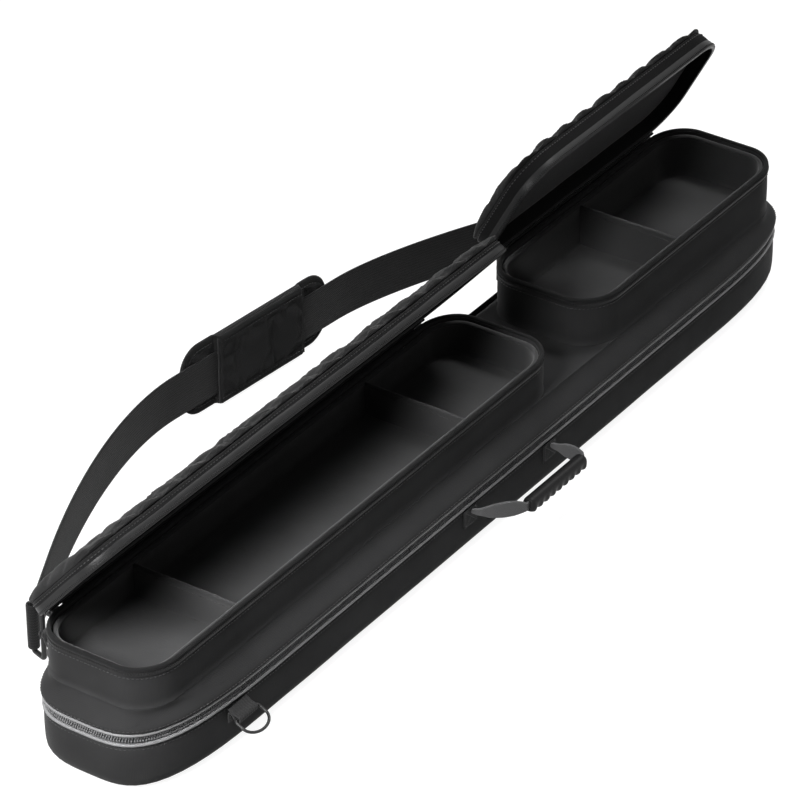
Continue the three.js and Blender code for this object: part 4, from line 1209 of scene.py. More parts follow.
def build_lid(kind):
    plan = POCKETS[kind]
    depth, angle = LIDS[kind]
    top = plan.rim + depth - QUILT_EDGE - QUILT_PUFF - QUILT_CROWN - CLEAR
    axis_z = plan.rim + HALF_GAP
    place = turned_about(LID_AXIS_X, 0, axis_z, -angle)
    body = f"{kind}_lid"
    offset = np.array([LID_AXIS_X, 0, axis_z])

    def lid_piece(name, data, material, slot, *replaced, **settings):
        moved = (data[0] - offset, data[1])
        nodes = [f"{body}_{node}" for node in replaced]
        return piece(f"{body}_{name}", moved, material, body, nodes, slot, place=place, **settings)

    lid_piece("side", lid_side(plan, top), LID_CLOTH, "shell_fabric", "shell")
    padding, held = quilted_top(plan, top + CLEAR)
    quilt = lid_piece("quilt", padding, QUILT, "padding", "quilted_top", sharp=70)
    inflate(quilt, held, 3.0, 1.6)
    lid_piece("quilt_stitching", quilt_stitches(plan, top + CLEAR), THREAD, "padding")
    lid_piece("zipper", lid_rim(plan), DARK_TEETH, "zipper_teeth", "zipper_tape")
    lid_piece("piping", lid_piping(plan), LIGHT_CORD, "piping")
    lid_piece("stitching", seam_row(plan, 0.45, top - 2.4), THREAD, "shell_fabric")
    panel = lid_piece("panel", lid_lining(plan, top - LID_WALL - CLEAR), LINING, "lining", "lining", sharp=60)
    lid_piece("cloth", lid_leaf(plan, lid_foot(plan), LEAF_HEIGHT), BINDING, "shell_fabric", "hinge_leaf")


for kind in POCKETS:
    build_lid(kind)

# Strips of webbing


def strip(path, normals, width_axis, widths, thick):
    """A flat strip with rounded edges along a path, and its own along and across coordinates in metres."""
    p = np.asarray(path, float)
    n = np.asarray(normals, float)
    w = np.asarray(width_axis, float)
    if w.ndim == 1:
        w = np.broadcast_to(w, p.shape)
    widths = np.broadcast_to(widths, (len(p),))
    s = arc_lengths(p)
    profile = [(-0.5, -0.25), (-0.485, -0.46), (-0.45, -0.5)]
    profile += [(v, -0.5) for v in np.linspace(-0.4, 0.4, 9)]
    profile += [(0.45, -0.5), (0.485, -0.46), (0.5, -0.25)]
    profile += [(v, -u) for v, u in profile[::-1]]
    rings, uv = [], []
    for i in range(len(p)):
        rings.append(np.array([p[i] + w[i] * widths[i] * v + n[i] * thick * u for v, u in profile]))
        uv += [(s[i] * MM, widths[i] * v * MM) for v, _ in profile]
    verts, faces = loft(rings)
    return verts, faces, np.array(uv)


def webbing_piece(name, data, material, body, replaced, place=None):
    verts, faces, uv = data
    piece(name, (verts, faces), material, body, [replaced], "webbing", place=place, uv=uv)


def plan_normals(path):
    d = np.gradient(path, axis=0)
    n = np.stack([-d[:, 1], d[:, 0], np.zeros(len(d))], 1)
    return n / np.linalg.norm(n, axis=1)[:, None]


# Carrying handle

def handle_half(side):
    """One side of the handle's webbing from its sewn root to the middle of the grip: out, along, height."""
    root = HANDLE_SPAN / 2
    bend = GRIP_LENGTH / 2 + side * GRIP_SHIFT + 4

    def at(share, back=0.0):
        return root + (bend - root) * share - back

    reach, inside_grip = HANDLE_REACH, GRIP_WEB_HEIGHT - 0.3
    keys = np.array([
        (-0.9, root, 2.6), (1.6, at(0.03), 4.6), (reach * 0.2, at(0.1), 6.0), (reach * 0.4, at(0.3), 11.0),
        (reach * 0.6, at(0.57), 13.0), (reach * 0.78, at(0.82), 12.4), (reach * 0.93, at(1, 0.2), 9.0),
        (reach, at(1, 2.4), inside_grip), (reach, at(1, 9), inside_grip),
    ])
    t = np.linspace(0, len(keys) - 1, 60)
    half = spread(keys, t, range(len(keys)))
    half[:, 1] *= side
    return smoothed(half, 3)


def handle_strip():
    full = np.concatenate([handle_half(1), handle_half(-1)[::-1]])
    path = np.stack([full[:, 0], full[:, 1], np.zeros(len(full))], 1)
    return strip(path, plan_normals(path), (0, 0, 1), full[:, 2], WEB_THICK * 0.9)


def handle_grip():
    """A soft moulded grip: smooth above, finger ribs below, rounded ends and a slot for the webbing."""
    sides = 40
    count = 181
    rings = []
    for j in range(count):
        t = -1 + 2 * j / (count - 1)
        y = GRIP_SHIFT + t * GRIP_LENGTH / 2
        end = math.sqrt(max(1 - max((abs(t) - 0.92) / 0.08, 0) ** 2, 0.0))
        share = 0.78 + 0.22 * end
        rib = max(math.cos(math.pi * (y - GRIP_SHIFT) / 4.2), -1) * min((1 - abs(t)) / 0.08, 1.0)
        pts = []
        for k in range(sides):
            a = 2 * math.pi * (k + 0.5) / sides
            c, sn = math.cos(a), math.sin(a)
            under = min(max((0.35 * c - 0.94 * sn - 0.15) / 0.5, 0.0), 1.0)
            grow = 0.55 * rib * under
            x = signed_power(c, 0.8) * (GRIP_WIDTH / 2 * share + grow)
            z = signed_power(sn, 0.8) * (GRIP_HEIGHT / 2 * share + grow)
            pts.append((HANDLE_REACH + x, y, z))
        rings.append(np.array(pts))
    a = 2 * np.pi * (np.arange(sides) + 0.5) / sides
    slot_x, slot_z = HANDLE_REACH + curved(np.cos(a), 5.0) * 1.75, curved(np.sin(a), 5.0) * 3.7
    for t in (1, 0.97, -0.97, -1):
        rings.append(np.column_stack([slot_x, np.full(sides, GRIP_SHIFT + t * GRIP_LENGTH / 2), slot_z]))
    return loft(rings, loop=True)


handle_place = turned_about(HANDLE_X, HANDLE_Y, HANDLE_Z, -HANDLE_LIFT)
webbing_piece("handle_strip", handle_strip(), HANDLE_WEB, "handle", "handle_webbing", handle_place)
piece("handle_moulded_grip", handle_grip(), PLASTIC, "handle", ["handle_grip"], "plastic", place=handle_place)


def box_stitch(centre, right, up, half_w, half_h, normal, cross=True):
    """A sewn rectangle, crossed corner to corner."""
    c, r, u = (np.asarray(v, float) for v in (centre, right, up))
    corners = [c + r * half_w * i + u * half_h * j for i, j in ((-1, -1), (1, -1), (1, 1), (-1, 1))]
    pairs = [(0, 1), (1, 2), (2, 3), (3, 0)] + ([(0, 2), (1, 3)] if cross else [])
    runs = [np.array([corners[i], corners[j]]) for i, j in pairs]
    return merge(*[stitch_run(run, normal, pitch=2.1, length=1.6, radius=0.25) for run in runs])


PATCH_TOP = TUB_TOP - 1.0
for end, side in (("near", -1), ("far", 1)):
    middle = HANDLE_Y + side * HANDLE_SPAN / 2
    face = FRONT_WALL + CLEAR
    patch = rounded_box((face, middle - 8.5, PATCH_TOP - 15), (face + 1.2, middle + 8.5, PATCH_TOP), 0.5)
    sewn = box_stitch((face + 1.25, middle, PATCH_TOP - 7.5), (0, 1, 0), (0, 0, 1), 6.8, 6.0, (1, 0, 0))
    piece(f"handle_{end}_sewn_patch", patch, TUB, "lower_case", [f"handle_{end}_patch"], "webbing")
    piece(f"handle_{end}_stitching", sewn, THREAD, "lower_case", slot="webbing")

# D-rings and their folded tabs


def d_ring(radius, depth, bow):
    half = RING_WIDTH / 2
    arc = [(depth - bow + bow * math.cos(a), half * math.sin(a), 0) for a in degrees(-90, 90, 33)]
    corner = [(1.8, half, 0), (0.7, half - 0.35, 0), (0.15, half - 0.9, 0), (0, half - 1.7, 0)]
    bar = [(0, y, 0) for y in np.linspace(half - 3, 3 - half, 9)]
    path = arc + corner + bar + [(x, -y, z) for x, y, z in corner[::-1]]
    ring_mesh = wire(path, radius, (0, 0, 1), 14)
    weld = rounded_box((-radius * 1.12, -1.2, -radius * 1.12), (radius * 1.12, 1.2, radius * 1.12), 0.7)
    return merge(ring_mesh, weld)


def folded_tab(flap_low, flap_high, neck_z, out, loop_z, wire_radius):
    """Webbing folded round a ring's bar, with both layers sewn flat to the wall."""
    flat = CLEAR + TAB_THICK / 2
    r = wire_radius + 0.5 + TAB_THICK / 2
    start = np.array([flat + 0.6, neck_z])
    centre = np.array([out, loop_z])
    d = centre - start
    base = math.atan2(d[1], d[0])
    wrap = [centre + r * np.array([math.cos(a), math.sin(a)]) for a in base + degrees(115, -115, 22)]
    upper = [(flat, flap_high), (flat, neck_z + 1.2), start + np.array([1.2, 0.9])]
    lower = [start + np.array([1.2, -0.9]), (flat, neck_z - 1.6), (flat, flap_low)]
    joint = centre - d / np.linalg.norm(d) * (r + 1.6)
    side = np.array([-d[1], d[0]]) / np.linalg.norm(d) * 0.8
    line = np.array(upper + [joint + side] + wrap + [joint - side] + lower)
    fine, _ = curve_points(line, 0.6)
    fine = smoothed(fine, 6)
    path = np.stack([fine[:, 0], np.zeros(len(fine)), fine[:, 1]], 1)
    grad = np.gradient(path, axis=0)
    n = np.stack([-grad[:, 2], np.zeros(len(grad)), grad[:, 0]], 1)
    n /= np.linalg.norm(n, axis=1)[:, None]
    return strip(path, n, (0, 1, 0), TAB_WIDTH, TAB_THICK)


def tab_stitching(low, high):
    centre = (CLEAR + 1.55, 0, (low + high) / 2)
    return box_stitch(centre, (0, 1, 0), (0, 0, 1), 8.6, (high - low) / 2 - 1.2, (1, 0, 0), cross=False)


def build_tab(name, replaced, low, high, neck, out, loop_z, radius, place):
    tab = folded_tab(low, high, neck, out, loop_z, radius)
    webbing_piece(name, tab, TAB_WEB, "lower_case", replaced, place)
    if neck - 2.5 > low + 3:
        seam = tab_stitching(low, neck - 2.5)
        piece(f"{name}_stitching", seam, THREAD, "lower_case", slot="webbing", place=place)


TAB_TOP = TUB_TOP - 1.0 - CLEAR
front_wall = Matrix.Translation(Vector((FRONT_RING["wall"], FRONT_RING["y"], 0)) * MM)
front_out = FRONT_RING["x"] - FRONT_RING["wall"]
build_tab("front_tab", "front_ring_tab", TAB_TOP - 12, TAB_TOP, TAB_TOP - 2, front_out,
          FRONT_RING["z"], FRONT_RING["wire"], front_wall)
ring_place = turned_about(FRONT_RING["x"], FRONT_RING["y"], FRONT_RING["z"], FRONT_RING["tilt"])
front_ring = d_ring(FRONT_RING["wire"], FRONT_RING["depth"], FRONT_RING["bow"])
metal_piece("front_ring_wire", front_ring, "front_ring", "front_d_ring", ring_place)

# Shoulder strap, in plan


def bezier(a, b, c, d, count):
    t = np.linspace(0, 1, count)[:, None]
    return (1 - t) ** 3 * a + 3 * (1 - t) ** 2 * t * b + 3 * (1 - t) * t ** 2 * c + t ** 3 * d


def unit(v):
    return v / np.linalg.norm(v)


near_eye = np.array([EYE[0], -EYE[1]])
far_eye = np.array([EYE[0], EYE[1]])
slope = math.radians(END_SLOPE)
near_way = np.array([-math.sin(slope), math.cos(slope)])
far_way = np.array([-math.sin(slope), -math.cos(slope)])
straight_near, straight_far = np.array(STRAIGHT_NEAR), np.array(STRAIGHT_FAR)
middle_way = unit(straight_far - straight_near)


def strap_curve(a, a_way, b, b_way):
    """A bend of the strap, from its end stretch at a to its straight middle at b."""
    span = np.linalg.norm(a - b)
    return bezier(a, a + a_way * span * END_PULL, b + b_way * span * STRAIGHT_PULL, b, 40)


def strap_path():
    near_bend = near_eye + near_way * END_STRAIGHT
    far_bend = far_eye + far_way * END_STRAIGHT
    near_curve = strap_curve(near_bend, near_way, straight_near, -middle_way)
    far_curve = strap_curve(far_bend, far_way, straight_far, middle_way)[::-1]
    parts = [
        np.linspace(near_eye + near_way * 4.0, near_bend, 16)[:-1],
        near_curve[:-1],
        np.linspace(straight_near, straight_far, 40)[:-1],
        far_curve[:-1],
        np.linspace(far_bend, far_eye + far_way * 4.0, 16),
    ]
    return np.concatenate(parts)


def lifted(path):
    return at_height(np.asarray(path), STRAP_Z)


strap_line = lifted(strap_path())
main_strip = strip(strap_line, plan_normals(strap_line), (0, 0, 1), STRAP_WIDTH, STRAP_THICK)


def eye_strip(eye, way):
    """The strap's end: round the hook's bar and back along itself, sewn down."""
    radius = EYE_RADIUS + STRAP_THICK / 2
    base = math.atan2(way[1], way[0])
    loop = [eye + radius * np.array([math.cos(a), math.sin(a)]) for a in base + degrees(50, 320, 30)]
    side = np.array([-way[1], way[0]])
    tail = [eye + way * s - side * (STRAP_THICK * 0.98) for s in np.linspace(*END_TAIL, 8)]
    head = [eye + way * 4.2]
    path = lifted(smoothed(np.array(head + loop + tail), 2))
    return strip(path, plan_normals(path), (0, 0, 1), STRAP_WIDTH - 0.6, STRAP_THICK * 0.9)


def join_strips(*strips):
    verts, faces = merge(*[(v, f) for v, f, _ in strips])
    return verts, faces, np.concatenate([uv for _, _, uv in strips])


ENDS = ((near_eye, near_way), (far_eye, far_way))
strap = join_strips(main_strip, *[eye_strip(eye, way) for eye, way in ENDS])
webbing_piece("strap_band", strap, WEBBING, "strap", "strap_webbing")


def strap_end_stitches(eye, way):
    side = np.array([-way[1], way[0], 0])
    along = np.array([way[0], way[1], 0])
    middle = np.array([*(eye + way * END_SEAM), STRAP_Z])
    faces = ((middle + side * 1.05, side), (middle - side * 2.95, -side))
    return merge(*[box_stitch(centre, along, (0, 0, 1), *END_SEAM_HALF, normal) for centre, normal in faces])


end_seams = merge(*[strap_end_stitches(eye, way) for eye, way in ENDS])
piece("strap_end_stitching", end_seams, THREAD, "strap", slot="webbing")

# Shoulder pad

pad_middle = straight_near + middle_way * np.linalg.norm(straight_far - straight_near) / 2
pad_angle = math.degrees(math.atan2(middle_way[1], middle_way[0])) - 90
pad_place = turned_about(pad_middle[0], pad_middle[1], STRAP_Z, pad_angle, "Z")
PAD_SLOTS = (-PAD_LENGTH / 2 + PAD_NEAR_SLOT, PAD_LENGTH / 2 - PAD_FAR_SLOT)
PAD_STITCH = 5.2


def smoothstep(x, low, high):
    t = min(max((x - low) / (high - low), 0.0), 1.0)
    return t * t * (3 - 2 * t)


def pad_layers(y):
    """Middle and half thickness of the pad: its back layer, and between the slots its front layer too."""
    near, far = (smoothstep(y, slot - PAD_STEP, slot + PAD_STEP) for slot in PAD_SLOTS)
    cover = near - far
    slot = STRAP_THICK / 2 + CLEAR
    front = -slot + cover * (2 * slot + PAD_FRONT)
    back = -slot - PAD_BACK
    return (front + back) / 2, (front - back) / 2


def pad_half(y):
    to_end = PAD_LENGTH / 2 - abs(y)
    into = min(to_end / PAD_CORNER, 1.0)
    return to_end, PAD_WIDTH / 2 - PAD_CORNER * (1 - math.sqrt(max(1 - (1 - into) ** 2, 0)))


def pad_body():
    """A padded cushion with a pinched sewn border and rounded corners, and the points its seams hold."""
    ends = (1 - np.cos(np.linspace(0, math.pi / 2, 16))) * PAD_CORNER
    middle_ys = np.linspace(-PAD_LENGTH / 2 + PAD_CORNER, PAD_LENGTH / 2 - PAD_CORNER, 106)[1:-1]
    ys = np.concatenate([-PAD_LENGTH / 2 + ends, middle_ys, PAD_LENGTH / 2 - ends[::-1]])
    levels = np.sin(np.linspace(-math.pi / 2, math.pi / 2, 45))
    rings, held = [], []
    for y in ys:
        to_end, half = pad_half(y)
        middle, thick = pad_layers(y)
        at_slot = min(abs(y - slot) for slot in PAD_SLOTS) < 2.4
        front, back, pinned = [], [], []
        for v in levels:
            edge = min(half * (1 - abs(v)), to_end + 0.4)
            border = min(edge / 3.5, 1.0)
            fill = 0.5 + 0.5 * math.sqrt(max(1 - (1 - border) ** 2, 0))
            pinch = 1 - 0.14 * math.exp(-((edge - PAD_STITCH) / 1.2) ** 2)
            wrinkle = 0.3 * noise.noise(Vector((v * half / 11.0, y / 14.0, 1.5))) * border
            t = thick * fill * pinch
            front.append((middle + t + wrinkle, y, PAD_RAISE + v * half))
            back.append((middle - t + wrinkle, y, PAD_RAISE + v * half))
            pinned.append(edge < PAD_STITCH + 1.0 or at_slot)
        rings.append(np.array(front + back[::-1]))
        held += pinned + pinned[::-1]
    return loft(rings), np.array(held)


def cut_channel(obj):
    """Opens the strap's way through the pad."""
    half_x, half_z = STRAP_THICK / 2 + CLEAR, STRAP_WIDTH / 2 + CLEAR
    size = Vector((2 * half_x, 2 * PAD_LENGTH, 2 * half_z)) * MM
    bm = bmesh.new()
    bmesh.ops.create_cube(bm, size=1.0)
    bmesh.ops.scale(bm, vec=size, verts=bm.verts)
    tool_mesh = bpy.data.meshes.new("channel")
    bm.to_mesh(tool_mesh)
    bm.free()
    tool = bpy.data.objects.new("channel", tool_mesh)
    collection.objects.link(tool)
    tool.matrix_world = obj.matrix_world
    bpy.context.view_layer.update()
    cut = obj.modifiers.new("channel", "BOOLEAN")
    cut.operation = "DIFFERENCE"
    cut.solver = "EXACT"
    cut.object = tool
    bpy.context.view_layer.update()
    dressed = obj.evaluated_get(bpy.context.evaluated_depsgraph_get())
    mesh = bpy.data.meshes.new_from_object(dressed)
    obj.modifiers.clear()
    old = obj.data
    obj.data = mesh
    bpy.data.meshes.remove(old)
    bpy.data.objects.remove(tool)
    bpy.data.meshes.remove(tool_mesh)


pad_mesh, pad_held = pad_body()
cushion = piece("shoulder_pad", pad_mesh, PAD_CLOTH, "pad", ["strap_pad"], "padding",
                place=pad_place, sharp=50)
inflate(cushion, pad_held, 3.0, 1.5)
cut_channel(cushion)


def pad_loop(inset):
    """Points round the pad at a distance inside its outline, as along and across."""
    radius = PAD_CORNER - inset
    half_y, half_z = PAD_LENGTH / 2 - PAD_CORNER, PAD_WIDTH / 2 - PAD_CORNER
    corners = ((half_y, half_z, 0), (-half_y, half_z, 90), (-half_y, -half_z, 180), (half_y, -half_z, 270))
    loop = []
    for cy, cz, start in corners:
        loop += [(cy + radius * math.cos(a), cz + radius * math.sin(a)) for a in degrees(start, start + 90, 13)]
    fine, _ = curve_points(np.array(loop), 1.5, closed=True)
    return fine


def pad_stitches():
    rows = []
    for side in (-1, 1):
        line = []
        for y, z in pad_loop(PAD_STITCH):
            middle, thick = pad_layers(y)
            line.append((middle + side * (thick * 0.86 + 0.1), y, PAD_RAISE + z))
        rows.append(stitch_run(np.array(line), (side, 0, 0), radius=0.3, closed=True))
    return merge(*rows)


def pad_edging():
    """A bound edge all round the pad, and one along each slot of its front layer."""
    rim = np.array([(pad_layers(y)[0], y, PAD_RAISE + z) for y, z in pad_loop(0.6)])
    parts = [wire(rim, 1.2, (1, 0, 0), 10)]
    for y in PAD_SLOTS:
        z = PAD_RAISE + np.linspace(-PAD_WIDTH / 2 + 1.5, PAD_WIDTH / 2 - 1.5, 40)
        inward = 1 if y < 0 else -1
        x = STRAP_THICK / 2 + CLEAR + PAD_FRONT * 0.42 + 0.1 * np.sin(z / 7.0)
        line = np.column_stack([x, np.full(40, y - 0.2 * inward), z])
        parts.append(wire(line, 0.9, (1, 0, 0), 10, closed=False))
    return merge(*parts)


piece("shoulder_pad_stitching", pad_stitches(), THREAD, "pad", slot="padding", place=pad_place)
# The edging's lighter grey is a painted highlight along the pad's rim
piece("shoulder_pad_edging", pad_edging(), EDGING_PAINTED_HIGHLIGHT, "pad", slot="padding", place=pad_place)

# Adjuster

adjuster_spot = far_eye + far_way * ADJUSTER_PLACE
adjuster_angle = math.degrees(math.atan2(far_way[1], far_way[0])) - 90
adjuster_place = turned_about(adjuster_spot[0], adjuster_spot[1], STRAP_Z, adjuster_angle, "Z")


def adjuster():
    """A three-bar slide: two side rails and cross bars before and behind the webbing."""
    slot_x, slot_z = STRAP_THICK / 2 + CLEAR, STRAP_WIDTH / 2 + CLEAR
    rails = []
    for side in (-1, 1):
        z0, z1 = sorted((side * slot_z, side * (slot_z + 2.5)))
        rails.append(rounded_box((-slot_x - 1.8, -9, z0), (slot_x + 1.8, 9, z1), 1.0))
    bars = []
    for y, half, fronts in ((-7.2, 1.7, (-1, 1)), (7.2, 1.7, (-1, 1)), (0.0, 1.8, (1,))):
        for front in fronts:
            x0, x1 = sorted((front * slot_x, front * (slot_x + 1.9)))
            bars.append(rounded_box((x0, y - half, -slot_z - 0.5), (x1, y + half, slot_z + 0.5), 0.7))
    return merge(*rails, *bars)


piece("strap_slide", adjuster(), PLASTIC, "adjuster", ["strap_adjuster"], "plastic", place=adjuster_place)

# Snap hooks

RING_BOW_X = RING_DEPTH - RING_WIDTH / 2 - STRAP_RING["x"]
HOOK_ACROSS = -EYE[0] - RING_BOW_X
HOOK_ALONG = STRAP_RING["y"] - EYE[1]
HOOK_SEAT = HOOK_RADIUS - HOOK_WIRE - CLEAR - STRAP_RING["wire"]
HOOK_LENGTH = math.hypot(HOOK_ACROSS, HOOK_ALONG) - RING_WIDTH / 2 - HOOK_SEAT


def on_hook(angle):
    a = math.radians(angle)
    return np.array([HOOK_LENGTH + HOOK_RADIUS * math.cos(a), 0, HOOK_RADIUS * math.sin(a)])


def turned_profile(profile, sides=20):
    """A body turned round the X axis."""
    rings = []
    a = 2 * math.pi * np.arange(sides) / sides
    for x, r in profile:
        rings.append(np.stack([np.full(sides, x), r * np.cos(a), r * np.sin(a)], 1))
    return loft(rings)


def snap_hook():
    sideways = (0, 1, 0)
    corner, depth, half = HOOK_LOOP_CORNER, HOOK_LOOP[0], HOOK_LOOP[1] / 2
    loop = []
    near, far, low, high = corner, depth - corner, -half + corner, half - corner
    for cx, cz, start in ((near, low, 180), (far, low, 270), (far, high, 0), (near, high, 90)):
        for a in degrees(start, start + 90, 8):
            loop.append((cx + corner * math.cos(a), 0, cz + corner * math.sin(a)))
    frame_wire = wire(loop, HOOK_LOOP_WIRE, sideways, 14)
    post = turned_profile([
        (11.2, 1.4), (11.5, 3.3), (12.7, 3.5), (13.1, 2.7), (13.7, 2.6), (14.1, 3.1), (15.2, 2.8), (16.2, 1.4),
    ])
    angles = np.linspace(150, 390, 49)
    taper = HOOK_WIRE * (1 - 0.25 * np.clip((angles - 300) / 90, 0, 1))
    bow = wire([on_hook(a) for a in angles], taper, sideways, 14, closed=False)
    nose = on_hook(390)
    tip = rounded_box(nose - 1.25, nose + 1.25, 0.8)
    return merge(frame_wire, post, bow, tip)


def hook_gate():
    """A spring gate with a small thumb stud."""
    a, b = on_hook(142), on_hook(67)
    bar = wire([a + (b - a) * t for t in np.linspace(0, 1, 8)], 1.1, (0, 1, 0), 12, closed=False)
    middle = a + (b - a) * 0.6
    lift = unit(np.array([-(b - a)[2], 0, (b - a)[0]]))
    stud_verts, stud_faces = turned_profile([(0.4, 0.9), (1.6, 0.8), (2.0, 1.2), (2.6, 1.1), (2.9, 0.5)], 12)
    across = np.array([0, 1.0, 0])
    side = np.cross(lift, across)
    turned = stud_verts[:, :1] * lift + stud_verts[:, 1:2] * across + stud_verts[:, 2:3] * side
    return merge(bar, (turned + middle, stud_faces))


def build_strap_end(name, side):
    eye = near_eye if side < 0 else far_eye
    angle = math.degrees(math.atan2(side * HOOK_ALONG, HOOK_ACROSS))
    place = turned_about(eye[0], eye[1], STRAP_Z, angle, "Z")
    ring_spot = turned_about(STRAP_RING["x"], side * STRAP_RING["y"], STRAP_Z, 180, "Z")
    metal_piece(f"{name}_hook", snap_hook(), "strap", f"strap_{name}_snap_hook", place)
    metal_piece(f"{name}_gate_bar", hook_gate(), f"{name}_gate", f"strap_{name}_hook_gate", place)
    bent = d_ring(STRAP_RING["wire"], RING_DEPTH, RING_WIDTH / 2)
    metal_piece(f"{name}_ring_wire", bent, "strap", f"strap_{name}_d_ring", ring_spot)
    wall = turned_about(-STRAP_RING["wall"], side * STRAP_RING["y"], 0, 180, "Z")
    out = -STRAP_RING["x"] - STRAP_RING["wall"]
    build_tab(f"{name}_tab", f"strap_{name}_ring_tab", TAB_TOP - 16, TAB_TOP, STRAP_Z, out,
              STRAP_Z, STRAP_RING["wire"], wall)


build_strap_end("near", -1)
build_strap_end("far", 1)

# Zipper sliders

SLIDER_THICK = 4.0
SLIDER_HEIGHT = 8.0
PIN_OUT = SLIDER_THICK + 1.9 - 0.4
PIN_Z = -SLIDER_HEIGHT / 4


def slider_body():
    """A zipper slider: a waisted plate with a bridge for the pull's pin."""
    rings = []
    for y, share in ((0.0, 0.86), (0.35, 0.97), (1.4, 1.0), (2.0, 0.98), (2.4, 0.9)):
        pts = []
        for a in whole_turn(32):
            c, s = math.cos(a), math.sin(a)
            waist = 1 - 0.16 * math.exp(-((s * 4) / 1.6) ** 2) * (1 if c < 0 else 0.3)
            pts.append((signed_power(c, 0.55) * 4.5 * share * waist, y, signed_power(s, 0.55) * 4.0 * share))
        rings.append(np.array(pts))
    plate = loft(rings)
    ears = [
        rounded_box((x, 1.8, PIN_Z - 1.3), (x + 1.1, PIN_OUT + 1.2, PIN_Z + 1.3), 0.5)
        for x in (-3.4, 2.3)
    ]
    pin_verts, pin_faces = turned_profile([(-3.1, 0.4), (-2.9, 0.8), (2.9, 0.8), (3.1, 0.4)], 14)
    bridge = rounded_box((-1.6, 2.0, 1.1), (1.6, 3.7, 3.4), 0.6)
    return merge(plate, *ears, (pin_verts + np.array([0, PIN_OUT, PIN_Z]), pin_faces), bridge)


def pull():
    """A pull tab that tapers from its eye to a rounded, dished end."""
    def section(z, half, thick):
        pts = []
        for a in whole_turn(16):
            pts.append((signed_power(math.cos(a), 0.5) * half, signed_power(math.sin(a), 0.7) * thick, z))
        return np.array(pts)

    blade = loft([section(*row) for row in (
        (-21.9, 0.7, 0.35), (-21.5, 1.4, 0.6), (-20.6, 1.9, 0.65), (-18.5, 2.0, 0.65), (-17.5, 2.0, 0.5),
        (-10.0, 1.8, 0.45), (-8.8, 1.7, 0.65), (-5.0, 1.5, 0.65), (-1.6, 1.9, 0.7),
    )])
    profile = ((-1.9, 1.15), (-1.9, 1.75), (-1.7, 1.9), (1.7, 1.9), (1.9, 1.75), (1.9, 1.15))
    rings = [np.array([(x, r * math.cos(a), r * math.sin(a)) for x, r in profile]) for a in whole_turn(20)]
    return merge(blade, loft(rings, loop=True))


END_FACE = LENGTH / 2 + max(TUB_BULGE, PIPING_OUT + PIPING_RADIUS) + CLEAR
BACK_FACE = -POCKET_WIDTH / 2 - 1.0 - CLEAR
SLIDER_DROP = SLIDER_HEIGHT / 2 + 1.5
SLIDERS = {"main_front": (5.5, END_FACE, ZIP_Z, 0), "main_back": (-5.5, END_FACE, ZIP_Z, 0)}
for kind, plan in POCKETS.items():
    SLIDERS[f"{kind}_near"] = (BACK_FACE, plan.y0 + POCKET_ALONG - 1, plan.rim - SLIDER_DROP, 90)
    SLIDERS[f"{kind}_far"] = (BACK_FACE, plan.y1 - POCKET_ALONG + 1, plan.rim - SLIDER_DROP, 90)
for name, (x, y, z, turn) in SLIDERS.items():
    spot = turned_about(x, y, z, turn, "Z")
    metal_piece(f"{name}_slide_body", slider_body(), f"{name}_slider", f"{name}_slider", spot)
    pin = spot @ Matrix.Translation(Vector((0, PIN_OUT, PIN_Z)) * MM)
    metal_piece(f"{name}_pull_tab", pull(), f"{name}_pull", f"{name}_pull", pin)

# Floor, world, lights and camera, in metres and watts

FLOOR_HALF = 12.0
FLOOR_GLOW = 0.92


def seen_directly(nt):
    """1 for rays of the camera, of a mirror image or through glass, and 0 for light on the object."""
    path = nt.nodes.new("ShaderNodeLightPath")
    both = math_node(nt, "MAXIMUM", path.outputs["Is Glossy Ray"], path.outputs["Is Transmission Ray"])
    return math_node(nt, "MAXIMUM", path.outputs["Is Camera Ray"], both)


def make_world(ambient):
    world = bpy.data.worlds.new("studio")
    bpy.context.scene.world = world
    world.use_nodes = True
    nt = world.node_tree
    background = nt.nodes["Background"]
    background.inputs["Color"].default_value = (1, 1, 1, 1)
    strength = math_node(nt, "ADD", math_node(nt, "MULTIPLY", seen_directly(nt), 1 - ambient), ambient)
    nt.links.new(strength, background.inputs["Strength"])


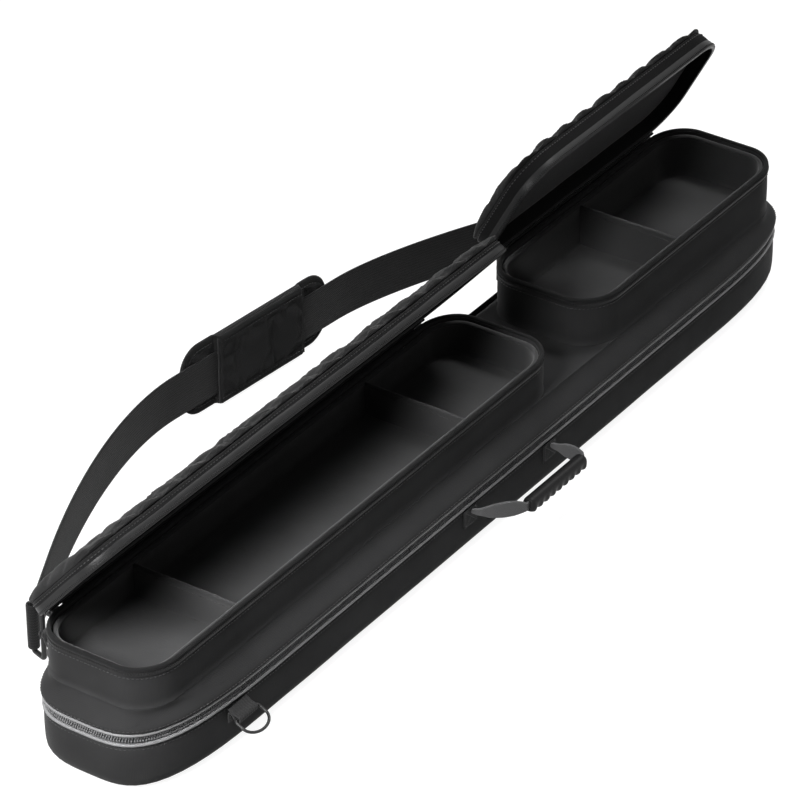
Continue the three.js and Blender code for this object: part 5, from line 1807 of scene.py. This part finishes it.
def make_floor(bounce):
    """White to the eye apart from a faint shadow, and a grey in the light that it throws back."""
    mesh = bpy.data.meshes.new("floor")
    corners = ((-1, -1), (1, -1), (1, 1), (-1, 1))
    mesh.from_pydata([(x * FLOOR_HALF, y * FLOOR_HALF, 0) for x, y in corners], [], [(0, 1, 2, 3)])
    obj = bpy.data.objects.new("floor", mesh)
    collection.objects.link(obj)
    obj.location.z = -0.0002
    mat, nt, shader = new_material("floor_paper")
    shader.inputs["Base Color"].default_value = (bounce, bounce, bounce, 1)
    shader.inputs["Roughness"].default_value = 0.9
    glow = nt.nodes.new("ShaderNodeEmission")
    glow.inputs["Color"].default_value = (1, 1, 1, 1)
    nt.links.new(math_node(nt, "MULTIPLY", seen_directly(nt), FLOOR_GLOW), glow.inputs["Strength"])
    both = nt.nodes.new("ShaderNodeAddShader")
    nt.links.new(shader.outputs[0], both.inputs[0])
    nt.links.new(glow.outputs[0], both.inputs[1])
    nt.links.new(both.outputs[0], nt.nodes["Material Output"].inputs[0])
    obj.data.materials.append(mat)


def aim(name, data, place, target):
    obj = bpy.data.objects.new(name, data)
    collection.objects.link(obj)
    obj.location = place
    obj.rotation_euler = (Vector(target) - Vector(place)).to_track_quat("-Z", "Y").to_euler()


def area_light(name, place, target, size, power):
    data = bpy.data.lights.new(name, "AREA")
    data.shape = "DISK"
    data.size = size
    data.energy = power
    aim(name, data, place, target)


def spot_light(name, place, target, size, power, cone):
    data = bpy.data.lights.new(name, "SPOT")
    data.shadow_soft_size = size
    data.energy = power
    data.spot_size = math.radians(cone)
    data.spot_blend = 1.0
    aim(name, data, place, target)


make_world(ambient=0.06)
make_floor(bounce=0.22)
spot_light("near_end_key", (0.07, -1.3, 1.05), (0.03, -0.33, 0.03), size=0.3, power=155, cone=42)
area_light("overhead_soft", (0.12, 0.95, 1.7), (0, 0.35, 0.05), size=0.5, power=14)
area_light("front_edge", (2.6, 0.3, 0.8), (0.05, 0, 0.05), size=0.9, power=1.5)
area_light("back_fill", (-2.3, 0.2, 1.3), (-0.05, 0, 0.1), size=1.0, power=13)


def make_camera():
    data = bpy.data.cameras.new("photo_camera")
    data.sensor_width = SENSOR
    data.lens = CAMERA_FOCAL_PIXELS * SENSOR / IMAGE_SIDE
    data.clip_start = 0.1
    data.clip_end = 60.0
    obj = bpy.data.objects.new("photo_camera", data)
    collection.objects.link(obj)
    a, e = math.radians(CAMERA_AZIMUTH), math.radians(CAMERA_ELEVATION)
    back = Vector((math.sin(a) * math.cos(e), -math.cos(a) * math.cos(e), math.sin(e)))
    right = Vector((math.cos(a), math.sin(a), 0))
    up = back.cross(right)
    roll = math.radians(CAMERA_ROLL)
    across = right * math.cos(roll) + up * math.sin(roll)
    turn = Matrix((across, back.cross(across), back)).transposed().to_4x4()
    obj.matrix_world = Matrix.Translation(CAMERA_PLACE) @ turn
    bpy.context.scene.camera = obj


make_camera()
bpy.context.scene.view_settings.view_transform = "Standard"
